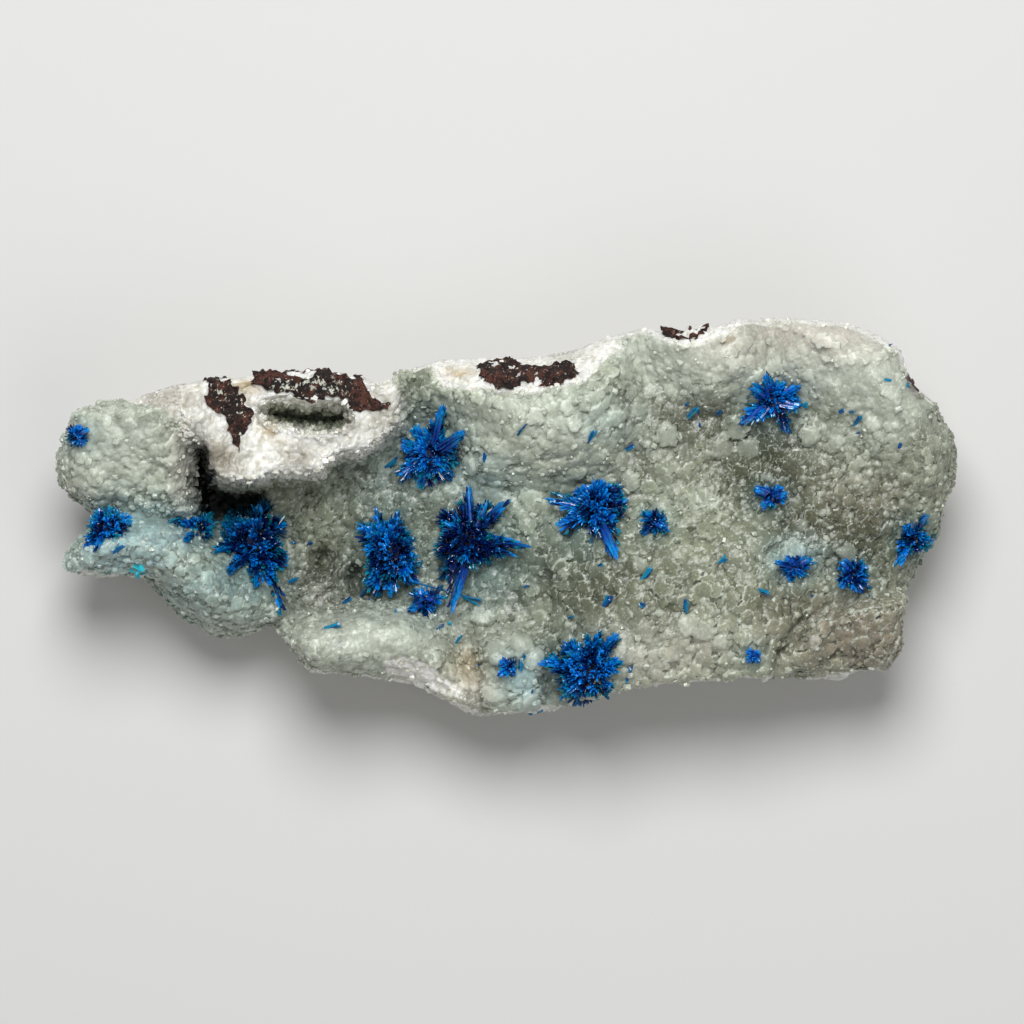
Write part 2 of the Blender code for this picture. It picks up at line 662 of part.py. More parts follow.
def spray_mesh(spray, tree, draw):
    """A heart with one flat face towards each tip, and a blade on each of them."""
    reach = spray.reach * PIXEL
    middle = on_face(tree, spray.middle, CORE_SINK)
    tips = [on_face(tree, arm, draw.uniform(*ARM_LIFT)) - middle for arm in spray.arms]
    for direction in burst_directions(spray.blades, draw):
        tips.append(direction * reach * draw.uniform(*BURST_REACH))
    core = reach * CORE_SHARE
    mesh = bmesh.new()
    bmesh.ops.create_cube(mesh, size=2 * core)
    for tip in tips:
        direction = tip.normalized()
        cut_flat(mesh, direction * core, direction)
    for tip in tips:
        mesh = with_blade(mesh, tip, draw.uniform(0, math.pi))
    bmesh.ops.translate(mesh, vec=middle, verts=mesh.verts)
    bmesh.ops.triangulate(mesh, faces=mesh.faces[:])
    bmesh.ops.recalc_face_normals(mesh, faces=mesh.faces[:])
    return mesh


def crystal_mesh(root, tip, turn):
    """A single short blade, three-sided."""
    along = (tip - root).normalized()
    corner = along.orthogonal().normalized() * CRYSTAL_WIDTH / 2 * MM
    corner.rotate(Quaternion(along, turn))
    third = Quaternion(along, math.tau / 3)
    corners = [corner, third @ corner, third @ third @ corner]
    mesh = bmesh.new()
    foot = [mesh.verts.new(root + corner) for corner in corners]
    grow_blade(mesh, mesh.faces.new(foot), tip, along, BLADE_TAPER)
    mesh.faces.new(foot)
    bmesh.ops.triangulate(mesh, faces=mesh.faces[:])
    bmesh.ops.recalc_face_normals(mesh, faces=mesh.faces[:])
    return mesh


def keep_largest_piece(mesh):
    """Deletes what the cut left loose from the main piece."""
    left = set(mesh.verts)
    pieces = []
    while left:
        piece, edge = set(), [left.pop()]
        while edge:
            vert = edge.pop()
            piece.add(vert)
            near = {link.other_vert(vert) for link in vert.link_edges} & left
            left -= near
            edge.extend(near)
        pieces.append(piece)
    pieces.sort(key=len)
    for piece in pieces[:-1]:
        bmesh.ops.delete(mesh, geom=list(piece), context="VERTS")
    bmesh.ops.dissolve_limit(mesh, angle_limit=FLAT_ANGLE, verts=mesh.verts, edges=mesh.edges)
    bmesh.ops.triangulate(mesh, faces=mesh.faces[:])


def block_around(obj, plate):
    """The part of the plate that lies under and around an object, lifted by the gap."""
    points = np.array([vert.co for vert in obj.data.vertices])
    low, high = points.min(axis=0) - BLOCK_MARGIN * MM, points.max(axis=0) + BLOCK_MARGIN * MM
    block = bmesh.new()
    block.from_mesh(plate)
    for side in (Vector((1, 0, 0)), Vector((0, 1, 0))):
        cut_flat(block, high, side)
        cut_flat(block, low, -side)
    bmesh.ops.translate(block, vec=(0, 0, GAP), verts=block.verts)
    return helper(obj.name + "_block", block)


def seat(obj, plate):
    """Cuts away what would sink into the plate, so that the crystal sits on it.

    The exact solver loses some of these sprays whole, and this one keeps them closed.
    """
    block = block_around(obj, plate)
    add_boolean(obj, block, "DIFFERENCE", "MANIFOLD")
    apply_modifiers(obj)
    bpy.data.objects.remove(block, do_unlink=True)
    edit(obj, keep_largest_piece)


def make_crystals(matrix, material):
    surface = bmesh.new()
    surface.from_mesh(matrix.data)
    tree = BVHTree.FromBMesh(surface)
    surface.free()
    draw = random.Random(SEED)
    for name, spray in SPRAYS.items():
        seat(new_object(name, spray_mesh(spray, tree, draw), material), matrix.data)
    for number, (root, tip) in enumerate(CRYSTALS_PX, 1):
        ends = [on_face(tree, root, CRYSTAL_LIFTS[0]), on_face(tree, tip, CRYSTAL_LIFTS[1])]
        mesh = crystal_mesh(*ends, draw.uniform(0, math.pi))
        seat(new_object(f"crystal_{number:02d}", mesh, material), matrix.data)


def main():
    clear_scene()
    materials = {}
    for name, (colour, roughness) in COLOURS.items():
        material = bpy.data.materials.new(name)
        material.use_nodes = True
        shader = material.node_tree.nodes["Principled BSDF"]
        shader.inputs["Base Color"].default_value = colour
        shader.inputs["Roughness"].default_value = roughness
        shader.inputs["Metallic"].default_value = 0.0
        materials[name] = material
    matrix = make_matrix(materials["zeolite"])
    make_basalt(matrix, materials["basalt"])
    make_crystals(matrix, materials["pentagonite"])


main()
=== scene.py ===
"""Looks of the pentagonite specimen: its druse, white crust, basalt and blue sprays.

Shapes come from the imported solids, in metres. Places on the crystal face are pixels of
the reference picture, counted right and down, and PIXEL turns them into metres.
"""

import json
import math
import random
from typing import NamedTuple

import bmesh
import bpy
import numpy as np
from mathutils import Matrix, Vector, kdtree, noise
from mathutils.bvhtree import BVHTree

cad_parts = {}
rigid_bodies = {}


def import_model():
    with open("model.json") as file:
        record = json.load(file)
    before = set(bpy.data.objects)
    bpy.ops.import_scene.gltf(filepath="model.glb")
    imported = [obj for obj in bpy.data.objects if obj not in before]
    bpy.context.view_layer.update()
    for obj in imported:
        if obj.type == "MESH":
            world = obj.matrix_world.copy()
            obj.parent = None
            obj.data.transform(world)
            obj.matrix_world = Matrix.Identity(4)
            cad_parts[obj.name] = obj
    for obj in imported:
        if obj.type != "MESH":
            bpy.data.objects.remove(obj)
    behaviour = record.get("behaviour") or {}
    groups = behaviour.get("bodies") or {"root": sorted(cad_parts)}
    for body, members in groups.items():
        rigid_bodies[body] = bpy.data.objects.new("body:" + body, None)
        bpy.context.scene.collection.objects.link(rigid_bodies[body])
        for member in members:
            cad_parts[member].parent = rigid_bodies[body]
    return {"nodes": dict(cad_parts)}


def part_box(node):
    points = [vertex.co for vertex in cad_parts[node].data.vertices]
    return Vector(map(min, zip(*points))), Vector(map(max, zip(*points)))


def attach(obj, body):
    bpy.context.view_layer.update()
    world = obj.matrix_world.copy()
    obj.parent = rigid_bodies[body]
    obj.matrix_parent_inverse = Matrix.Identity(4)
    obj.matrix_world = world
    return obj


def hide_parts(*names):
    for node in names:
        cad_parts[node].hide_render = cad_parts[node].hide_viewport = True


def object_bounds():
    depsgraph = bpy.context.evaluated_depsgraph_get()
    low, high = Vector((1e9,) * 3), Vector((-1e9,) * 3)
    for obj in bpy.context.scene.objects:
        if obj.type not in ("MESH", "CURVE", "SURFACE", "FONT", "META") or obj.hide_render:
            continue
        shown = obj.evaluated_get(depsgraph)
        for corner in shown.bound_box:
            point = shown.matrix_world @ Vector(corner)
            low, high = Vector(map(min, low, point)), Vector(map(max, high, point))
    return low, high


for startup in list(bpy.data.objects):
    bpy.data.objects.remove(startup)

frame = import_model()
LOW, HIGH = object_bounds()

MM = 0.001
LEFT_PX, RIGHT_PX = 53.0, 959.0
TOP_PX, BOTTOM_PX = 314.5, 722.0
CENTRE_PX = ((LEFT_PX + RIGHT_PX) / 2, (TOP_PX + BOTTOM_PX) / 2)
PIXEL = (HIGH.x - LOW.x) / (RIGHT_PX - LEFT_PX)
IMAGE_PX = 1024

# The plate: its body, and the finer mesh of its face
VOXEL = 0.44 * MM
SMOOTHING = 2
BODY_TRIANGLES = 90_000
BODY_DEPTH = 0.7 * MM  # how far the body lies under the mesh of the face
LOOK_UP_FROM = 0.25 * MM
FACE_SPREAD = 4  # rounds by which the border of the face is evened
WALL_SPREAD = 12  # rounds by which the face also takes in the walls of its hollows
FACE_PIECES = 3
FACE_FROM = 0.3  # a point belongs to the face from this share of open points around it
WALL_EDGE = (0.42, 0.62)  # the same for the walls of its hollows, from none to all
FACE_RISE = (0.3, 0.9)  # the shares between which the druse grows to its full height
BODY_SINK = (0.2, 0.9)  # and between which the body sinks under it
BREAK_EDGE = (0.2, 0.5)  # and between which the colour of broken stone ends
BREAK_GRAIN = [(4.0 * MM, 0.6 * MM, 6.0), (1.4 * MM, 0.45 * MM, 2.0)]  # size, depth, seed
BREAK_LEVELS = {"rise": 0.3, "rim": 0.0, "chance": 0.5, "bead": 0.5, "pearl": 0.0}


class Lumps(NamedTuple):
    """Lumps of druse. Radii are in millimetres, the rest are shares of the radius."""

    radius: tuple
    spacing: float
    dome: float
    lift: float
    tilt: float


SCALES = Lumps((0.5, 1.3), 1.0, 0.32, 0.25, 0.13)
ROSETTES = Lumps((1.0, 1.0), 1.0, 0.5, 0.5, 0.1)
PEARLS = Lumps((0.25, 0.55), 2.0, 0.6, 0.5, 0.2)
TEETH = Lumps((0.3, 0.75), 0.9, 0.8, 0.9, 0.2)
CANDIDATES = 60_000
PEARL_CANDIDATES, TEETH_CANDIDATES = 1300, 4000
FILL = 0.5 * MM  # how far the plate closes up over the gap around the basalt
SCALLOPS = 0.3  # how uneven the rim of a lump is
SCALLOP_SIZE = 0.7 * MM
FLOOR_DEPTH = 0.25 * MM  # how deep the face lies between its lumps
HIGHEST = 1.0 * MM
BEADS = [(0.8 * MM, 0.08 * MM, 3.0), (0.42 * MM, 0.035 * MM, 8.0)]
SUGAR = [(1.6 * MM, 0.3 * MM, 5.0), (0.55 * MM, 0.18 * MM, 9.0)]
# FULL_RISE also sets how high the painted shade of the hollows between lumps reaches
FULL_RISE = 0.75 * MM  # the height from which a lump is at its palest
CALMING, CALM_BEADS, CALM_FLOOR = 0.85, 0.8, 0.6  # the share that goes where the face is calm
SNOW_CALM, SNOW_SMALLER = 0.7, 0.6  # how calm the crust is, and how much finer its lumps
BEADS_INSIDE, BEADS_AT_RIM = 0.6, 0.6  # the share of the beads on a lump, and more at its rim
ROSETTE_WHITE, PEARL_WHITE = 0.45, 0.5
PEARLS_ANYWHERE = 0.1
LEAST = 1e-9  # keeps weights above nothing

# The small crystals that stand on the druse
CRYSTALS = 5_500
CRYSTAL_SIDES = 5
CRYSTAL_RADIUS = (0.18, 0.62)  # in millimetres
CRYSTAL_HEIGHT = (0.5, 1.1)  # as a share of the radius
CRYSTAL_TILT = 0.35
CRYSTAL_GROUPS = 1.8 * MM
CRYSTAL_SHARES = {
    "anywhere": 0.04, "rims": 0.25, "groups": 0.35, "steep": 1.2, "jagged": 2.5,
    "off_crust": 0.8, "off_trimmed": 0.9,
}
MOST_CALM = 0.95

LUMP_SIZES = [  # a place on the face, and how large its lumps are
    (120, 440, 0.75), (140, 540, 0.75), (220, 590, 0.8), (290, 520, 0.8), (350, 560, 0.7),
    (420, 500, 0.85), (500, 590, 1.0), (430, 390, 0.8), (560, 430, 1.15), (600, 360, 0.9),
    (680, 360, 0.8), (680, 450, 1.0), (780, 450, 0.95), (820, 340, 0.75), (900, 430, 0.7),
    (860, 520, 0.8), (700, 560, 1.1), (640, 640, 1.15), (760, 620, 1.05), (850, 640, 0.9),
    (380, 640, 0.65), (500, 690, 1.0),
]
LUMP_SIZE_REACH = 34.0
CALM = [  # where the face is nearly smooth: x, y, reach across, reach down, strength
    (700, 418, 30, 14, 0.95), (762, 440, 22, 18, 0.9), (640, 470, 14, 24, 0.7),
    (560, 372, 60, 14, 0.7), (418, 382, 18, 16, 0.9), (820, 335, 110, 24, 1.0),
    (870, 375, 60, 36, 0.95), (915, 420, 34, 36, 0.8), (700, 350, 60, 22, 0.75),
    (370, 640, 90, 28, 0.9), (120, 420, 55, 30, 0.7), (140, 530, 60, 20, 0.8),
    (200, 590, 60, 24, 0.5), (570, 560, 40, 36, 0.6), (370, 470, 20, 14, 0.5),
    (800, 395, 20, 18, 0.6), (470, 700, 20, 16, 0.95), (750, 590, 20, 14, 0.6),
    (530, 420, 70, 34, 0.5), (700, 600, 80, 40, 0.35),
    (430, 520, 40, 40, 0.4), (600, 560, 60, 40, 0.45),
]
PEARLY = [  # where small pale lumps are most frequent
    (350, 500, 50, 30, 1.0), (300, 560, 30, 30, 0.7), (760, 520, 80, 40, 0.8),
    (700, 470, 60, 30, 0.6), (500, 620, 50, 24, 0.8), (840, 460, 60, 50, 0.7),
    (640, 580, 60, 30, 0.4), (820, 600, 40, 20, 0.6), (110, 480, 50, 20, 0.5),
]

CRUST = {
    "shelf": [
        (128, 402), (150, 388), (186, 370), (240, 360), (385, 362), (402, 392),
        (406, 405), (398, 427), (385, 444), (366, 459), (340, 461), (327, 471),
        (318, 481), (295, 484), (270, 483), (240, 488), (222, 489), (207, 480),
        (202, 462), (197, 447), (184, 436), (172, 414), (150, 404)],
    "brow": [
        (416, 352), (500, 345), (600, 330), (624, 345), (602, 362), (590, 378),
        (572, 386), (540, 391), (505, 392), (470, 388), (440, 386), (434, 372)],
    "top": [(640, 318), (720, 308), (736, 330), (716, 340), (690, 346), (655, 338)],
    "lip": [
        (385, 665), (400, 655), (430, 668), (455, 682), (462, 694), (440, 694),
        (410, 688), (388, 678)],
}
SLOT = [
    (266, 405), (282, 404), (300, 407), (320, 408), (338, 410), (345, 416), (341, 427),
    (322, 430), (300, 426), (284, 425), (270, 419)]
JAGGED = [  # where the crust ends in a row of small lumps
    SLOT + SLOT[:1],
    [(197, 447), (202, 462), (209, 476), (222, 484), (240, 483), (270, 478), (295, 479),
     (318, 476), (327, 466), (340, 457), (366, 455), (385, 440), (398, 425)],
    [(176, 420), (190, 436), (196, 452), (196, 480), (193, 512)],
    [(138, 505), (160, 508), (185, 514), (198, 522)],
]
JAGGED_PX = 7.0
CRUST_EDGE_PX = 5.0
CRUST_FOOT = (13 * MM, 16 * MM)  # the heights between which the crust ends on the sides
CRUST_WANDER = 4 * MM
WANDER = (1.3 * MM, 7)  # size and seed of the noise that makes all edges of tints uneven
TINT_WANDER_PX, EDGE_WANDER_PX = 7.0, 4.0
TRIMMED_RIM = [
    [(137, 392), (186, 380), (272, 373), (366, 376), (427, 357), (534, 354), (630, 327),
     (689, 326), (776, 314), (852, 321), (903, 347), (913, 377), (933, 396)],
    [(880, 676), (812, 686), (743, 684), (641, 693), (580, 708), (534, 718), (480, 722),
     (412, 690), (320, 679), (290, 668)],
    [(138, 583), (109, 582), (73, 578)],
]
TRIMMED_PX = 9.0


def srgb(red, green, blue):
    """A colour as a screen shows it, as the linear colour that a shader takes."""
    return (*(((c / 255 + 0.055) / 1.055) ** 2.4 for c in (red, green, blue)), 1.0)


BODY = srgb(160, 166, 143)
PALE = srgb(212, 220, 206)
# the druse's own olive, darkened so that it also paints the shade of the basin, the channel and
# the hollows
OLIVE_AND_SHADE = srgb(80, 83, 60)
# painted shade: the colour of the hollows between the lumps
HOLLOW_SHADE = srgb(62, 64, 43)
# painted shade, near-black, for the gap, the slot, the basin and the crack
CAVITY_SHADE = srgb(26, 22, 14)
RUST = srgb(66, 38, 30)
WHITE = srgb(250, 250, 242)
CHALK = srgb(220, 217, 204)
GREIGE = srgb(144, 136, 118)
BLUISH = srgb(184, 216, 218)
CREAM = srgb(224, 218, 205)
STAIN = srgb(190, 168, 126)
BROKEN = srgb(214, 211, 198)
BROKEN_DARK = srgb(166, 162, 144)
TEAL = srgb(60, 130, 142)
# the blades in painted shade and in painted light, each lighter at the tip, for light through the
# thin blade
BLADE_SHADED = srgb(0, 8, 44), srgb(0, 34, 100)  # at the root and at the tip
BLADE_LIT = srgb(0, 74, 176), srgb(10, 150, 250)
BLADE_TEAL = srgb(0, 146, 172)
LOOSE_BLUE = srgb(0, 96, 170), srgb(10, 160, 205)
CYAN = srgb(70, 236, 255)
ROCK_DARK, ROCK_RED = srgb(34, 20, 16), srgb(88, 50, 38)
ROCK_DUST, ROCK_WHITE, ROCK_HOLE_SHADE = srgb(150, 140, 128), srgb(214, 218, 202), srgb(12, 8, 7)

# Where the druse takes each tint, among them painted shade and painted light: x, y, reach across,
# reach down, strength
TINTS = {
    # olive of the druse, and painted shade in the basin, the channel and the other hollows
    "olive": [
        (300, 525, 90, 34, 0.35), (400, 500, 60, 50, 0.8), (330, 588, 70, 22, 1.5),
        (480, 590, 70, 40, 0.8), (590, 580, 90, 50, 0.8), (690, 420, 50, 34, 1.1),
        (770, 460, 60, 50, 1.3), (640, 450, 30, 40, 0.7), (480, 640, 50, 24, 0.5),
        (840, 530, 70, 40, 1.3), (550, 660, 16, 50, 0.9), (640, 600, 60, 30, 0.5),
        (700, 560, 70, 50, 0.4), (410, 440, 30, 30, 0.3),
        (740, 390, 24, 16, 0.7), (920, 560, 40, 30, 0.5), (790, 600, 60, 24, 0.7),
        (210, 600, 50, 20, 0.35), (845, 525, 50, 26, 0.5), (770, 455, 36, 24, 0.3),
    ],
    "greige": [
        (860, 640, 70, 40, 1.0), (780, 640, 40, 36, 0.5),
        (700, 650, 90, 36, 0.3), (460, 640, 50, 24, 0.4), (310, 590, 30, 20, 0.4),
        (870, 490, 60, 30, 0.4), (300, 640, 12, 30, 0.4), (80, 500, 40, 16, 0.5),
    ],
    "pale": [
        (530, 420, 110, 56, 0.65), (120, 440, 62, 50, 0.95), (370, 640, 100, 36, 0.85),
        (850, 350, 110, 50, 1.1), (880, 400, 60, 50, 0.8), (690, 350, 70, 40, 1.1),
        # the spot at 184, 460 paints light on the knob's shaded right wall
        (520, 700, 80, 24, 0.5), (184, 460, 14, 50, 0.8), (660, 650, 90, 26, 0.15),
        (145, 530, 40, 22, 0.5),
    ],
    "bluish": [
        (150, 530, 66, 24, 1.0), (200, 590, 60, 34, 0.5), (120, 560, 60, 20, 0.8),
        (400, 470, 50, 40, 0.3), (440, 560, 90, 60, 0.15), (795, 555, 24, 16, 0.5),
        (525, 680, 20, 24, 0.7), (605, 420, 30, 24, 0.2), (480, 480, 40, 20, 0.4),
    ],
    "cream": [
        (820, 335, 100, 22, 0.9), (740, 345, 50, 24, 0.6), (470, 692, 18, 20, 0.8),
        # the spot at 184, 466 also paints light on the knob's shaded right wall
        (184, 466, 12, 44, 0.6),
        (640, 660, 60, 24, 0.3), (700, 640, 20, 12, 0.4),
    ],
    # painted shade where the gap, the slot, the hollows of the basin and the crack lie in shadow
    "dark": [
        (202, 482, 9, 34, 2.0), (220, 506, 22, 14, 1.0), (240, 508, 30, 14, 0.8),
        (328, 418, 18, 9, 0.3), (322, 572, 30, 24, 0.4),
        (332, 562, 24, 14, 0.4), (355, 582, 14, 16, 0.3), (803, 637, 9, 6, 0.4),
        (792, 682, 8, 8, 0.5),
    ],
    "stain": [
        (247, 387, 14, 8, 0.9), (270, 430, 7, 7, 0.8), (460, 370, 12, 5, 0.8),
        (466, 664, 12, 14, 0.5), (727, 342, 6, 3, 0.6),
    ],
    "rust": [(917, 382, 5, 11, 1.2)],
    "cloudy": [
        (168, 398, 34, 16, 0.9), (222, 458, 20, 18, 1.3), (300, 458, 18, 12, 0.9),
        (345, 430, 20, 14, 0.5), (385, 415, 16, 22, 0.9), (205, 420, 10, 14, 0.5),
        (560, 350, 20, 8, 0.6),
    ],
}
TINT_COLOURS = {
    "olive": OLIVE_AND_SHADE, "greige": GREIGE, "pale": PALE, "bluish": BLUISH, "cream": CREAM,
}
BROKEN_RELIEF, BROKEN_GRANULES = 24.0, 8.0
SCATTER = (1.0, 0.98, 0.86)  # how far red, green and blue light run in the stone
GLOW_REACH = 2.2 * MM
SPOT_FALL, GLOW_FALL = 0.7, 2.2  # how fast a spot and a glow fade outward

ROSETTES_PX = [  # x, y and radius of the pale ball-shaped lumps
    (668, 435, 12), (630, 480, 10), (735, 428, 14), (722, 448, 12), (748, 446, 11),
    (470, 465, 11), (485, 615, 12), (660, 505, 9), (700, 497, 13), (712, 505, 10),
    (802, 525, 7), (793, 552, 13), (848, 553, 9), (705, 632, 11), (724, 641, 10),
    (690, 622, 12), (500, 652, 13), (520, 645, 12), (532, 657, 10), (870, 425, 8),
    (810, 436, 11), (835, 441, 9), (640, 566, 8), (656, 562, 6), (562, 575, 7),
]

# Blades of a spray. Spacings, lengths and widths without MM are in millimetres
TUFT_CANDIDATES = 3000
TUFT_SPACING = 0.78
TUFT_BLADES = 9
TUFT_LENGTH = (1.0, 2.1)
TUFT_SPLAY = 0.36
TUFT_JUT = 0.3  # how far a tuft reaches out of the solid, as a share of its length
BLADE_WIDTH = (0.2, 0.46)
CORE_SHARE = 0.6
# the core is painted mostly in shade
CORE_VALUES = {"reach": 0.45, "chance": 0.2, "fringe": 0.0}
# Painted light and shade of the blades: a level for each spray, clumps of lit and shaded tufts,
# and a lit side
CLUMP_SIZE = 1.5 * MM
CLUMP_CONTRAST = 1.5
LIT_FROM = np.array([-0.5, 0.6, 0.6])  # the side on which the blades are paler
LIT_SHARE = 0.4
USUAL_LIGHT = 0.33
SPRAY_LIGHT = {
    "spray_centre": -0.7, "spray_top": 0.45, "spray_low": 0.15, "spray_brow": 0.1,
    "spray_fan": -0.2, "spray_channel": 0.1, "spray_dot": 0.3, "spray_knob": 0.3,
    "spray_centre_left": -0.1, "spray_mid": -0.1, "spray_tongue": 0.1, "spray_bottom": 0.3,
}
ARM_BLADES = 14
ARM_WIDTH = (0.35, 0.65)
ARM_SPREAD = 0.24
# ARM_LIGHT is the painted light of the arms' blades
ARM_LIGHT, ARM_FRINGE = (0.45, 1.1), (0.0, 0.5)
ARM_RISE = 0.8 * MM
ARM_FROM = 1.15  # an arm reaches so many times as far as the usual point of its spray
ARM_THINNING = 0.35  # the share of the tufts that is left out along an arm
ARM_SLIMMING = 0.8

LOOSE_PX = [  # x, y, length in pixels and heading of the smallest blades
    (141, 569, 14, 60), (137, 572, 12, 100), (144, 573, 12, 20), (138, 566, 11, 150),
    (142, 566, 11, 110), (136, 569, 12, 10),
    (121, 548, 7, 45), (153, 562, 4, 0), (346, 602, 9, 30), (334, 608, 6, 160),
    (367, 603, 7, 80), (396, 612, 7, 100), (437, 618, 6, 90), (391, 465, 8, 70),
    (485, 457, 8, 80), (292, 581, 9, 20), (291, 544, 5, 0), (309, 543, 5, 30),
    (480, 665, 5, 10), (533, 692, 5, 60), (630, 672, 10, 110), (600, 565, 5, 45),
    (612, 600, 8, 70), (565, 534, 5, 0), (572, 534, 5, 50), (592, 541, 6, 100),
    (526, 587, 4, 0), (686, 405, 5, 30), (698, 412, 6, 80), (691, 416, 6, 120),
    (700, 426, 5, 100), (718, 412, 5, 60), (804, 406, 6, 90), (840, 411, 5, 30),
    (849, 412, 5, 0), (858, 421, 6, 40), (858, 434, 5, 10), (899, 446, 6, 60),
    (906, 386, 5, 90), (884, 380, 7, 170), (894, 343, 5, 20), (812, 597, 4, 0),
    (868, 597, 4, 30), (901, 620, 5, 90), (571, 617, 5, 20), (642, 604, 6, 150),
    (521, 664, 11, 85), (722, 560, 5, 0), (764, 592, 6, 30), (684, 605, 9, 85),
    (648, 573, 12, 60), (606, 599, 10, 65), (594, 435, 8, 70), (520, 431, 6, 60),
    (630, 447, 6, 40), (500, 665, 7, 20), (508, 672, 7, 90), (448, 625, 5, 20),
]
LOOSE_WIDTH = (0.3, 0.56)
LOOSE_BLADES, BLADES_EACH = 2, 3
CYAN_COUNT = 6  # the first so many of them, which are the brightest
CYAN_THICKNESS = 1.8
NEEDLE_PX = (415, 583), (481, 601)
NEEDLE_WIDTH = 0.34 * MM
NEEDLE_LIFTS = 1.2 * MM, 0.5 * MM

# Basalt
BASALT_PATCHES = [
    (290, 387, 14, 6, 1.0), (315, 383, 12, 5, 1.1), (334, 390, 9, 6, 0.9),
    (224, 395, 7, 12, 0.6), (240, 410, 9, 9, 0.5)]
BASALT_VOXEL = 0.2 * MM
BASALT_GROWTH = 0.6 * MM
BASALT_RISE = 0.3  # the share of that growth by which it rises
BASALT_GRAIN = [(1.6 * MM, 0.5 * MM, 1.0), (0.5 * MM, 0.35 * MM, 4.0)]
BASALT_RAGGED = [(2.6 * MM, 0.9 * MM), (0.9 * MM, 0.6 * MM)]  # size and reach, sideways

# Room, light and camera: of each light its place, its size and its watts
FLOOR_COLOUR = (0.66, 0.66, 0.65, 1)
FLOOR_HALF = 1.5
LIGHTS = {"key": ((-0.02, 0.3, 0.6), 0.36, 4.2), "fill": ((0.3, -0.35, 0.7), 0.6, 1.1)}
ROOM_LIGHT = 0.22
FOCAL_LENGTH = 300.0
SENSOR = 36.0
FOCUS_HEIGHT = 20 * MM


# Mesh helpers


def plan_metres(point_px):
    return (
        (point_px[0] - CENTRE_PX[0]) * PIXEL,
        (CENTRE_PX[1] - point_px[1]) * PIXEL,
    )


def to_pixels(points):
    """Where points in metres lie in the reference picture."""
    return np.column_stack([
        CENTRE_PX[0] + points[:, 0] / PIXEL,
        CENTRE_PX[1] - points[:, 1] / PIXEL])


def linked(name, mesh):
    obj = bpy.data.objects.new(name, mesh)
    bpy.context.scene.collection.objects.link(obj)
    return obj


def vectors_of(items, key):
    values = np.empty(len(items) * 3)
    items.foreach_get(key, values)
    return values.reshape(-1, 3)


def points_of(mesh):
    return vectors_of(mesh.vertices, "co")


def normals_of(mesh):
    return vectors_of(mesh.vertex_normals, "vector")


def edges_of(mesh):
    pairs = np.empty(len(mesh.edges) * 2, np.int32)
    mesh.edges.foreach_get("vertices", pairs)
    return pairs.reshape(-1, 2)


def triangles_of(mesh):
    mesh.calc_loop_triangles()
    corners = np.empty(len(mesh.loop_triangles) * 3, np.int32)
    mesh.loop_triangles.foreach_get("vertices", corners)
    return corners.reshape(-1, 3)


def unit(vectors):
    return vectors / np.linalg.norm(vectors, axis=1, keepdims=True)


def set_points(mesh, points):
    """Moves the mesh's points, and keeps them inside the box of the solids."""
    inside = np.clip(points, np.array(LOW), np.array(HIGH))
    mesh.vertices.foreach_set("co", inside.ravel())
    mesh.update()


def set_values(mesh, values):
    for name, numbers in values.items():
        layer = mesh.attributes.new(name, "FLOAT", "POINT")
        layer.data.foreach_set("value", np.ascontiguousarray(numbers, np.float32))


def triangle_mesh(name, points, triangles):
    mesh = bpy.data.meshes.new(name)
    mesh.vertices.add(len(points))
    mesh.loops.add(3 * len(triangles))
    mesh.loops.foreach_set("vertex_index", np.ascontiguousarray(triangles, np.int32).ravel())
    mesh.polygons.add(len(triangles))
    mesh.polygons.foreach_set("loop_start", np.arange(0, 3 * len(triangles), 3, dtype=np.int32))
    mesh.update(calc_edges=True)
    set_points(mesh, points)
    return mesh


def shade(mesh, smooth):
    mesh.polygons.foreach_set("use_smooth", np.full(len(mesh.polygons), smooth))
    mesh.update()


def modified(obj, kind, **settings):
    """Gives the object the result of one modifier as its mesh."""
    modifier = obj.modifiers.new(kind.lower(), kind)
    for key, value in settings.items():
        setattr(modifier, key, value)
    graph = bpy.context.evaluated_depsgraph_get()
    mesh = bpy.data.meshes.new_from_object(obj.evaluated_get(graph))
    obj.modifiers.clear()
    obj.data = mesh


def tree_of(mesh):
    shape = bmesh.new()
    shape.from_mesh(mesh)
    tree = BVHTree.FromBMesh(shape)
    shape.free()
    return tree


def dressed(obj, material, nodes):
    """Gives a piece its material, its body and the solids that it stands for."""
    obj.data.materials.clear()
    obj.data.materials.append(material)
    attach(obj, "root")
    if nodes:
        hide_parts(*nodes)
    return obj


# Fields over the face


def distance_to_line(points, line):
    """How far each point is from a line through the given corners."""
    corners = np.asarray(line, float)
    best = np.full(len(points), np.inf)
    for start, run in zip(corners, np.diff(corners, axis=0)):
        reach = points - start
        part = np.clip(reach @ run / (run @ run), 0, 1)
        best = np.minimum(best, np.linalg.norm(reach - part[:, None] * run, axis=1))
    return best


def depth_inside(points, loop):
    """How far each point is inside the loop; outside it the number is negative."""
    corners = np.asarray(loop + loop[:1], float)
    crossings = np.zeros(len(points), int)
    for start, run in zip(corners, np.diff(corners, axis=0)):
        reach = points - start
        level = (reach[:, 1] >= 0) != (reach[:, 1] - run[1] >= 0)
        if run[1]:
            crossings += level & (reach[:, 0] < run[0] * reach[:, 1] / run[1])
    return distance_to_line(points, corners) * np.where(crossings % 2 == 1, 1, -1)


def step(values, low, high):
    """0 below low, 1 above high, and smooth between them."""
    share = np.clip((values - low) / (high - low), 0, 1)
    return share * share * (3 - 2 * share)


def noise_field(points, size, seed):
    return np.array([noise.noise(Vector((x, y, z + seed))) for x, y, z in points / size])


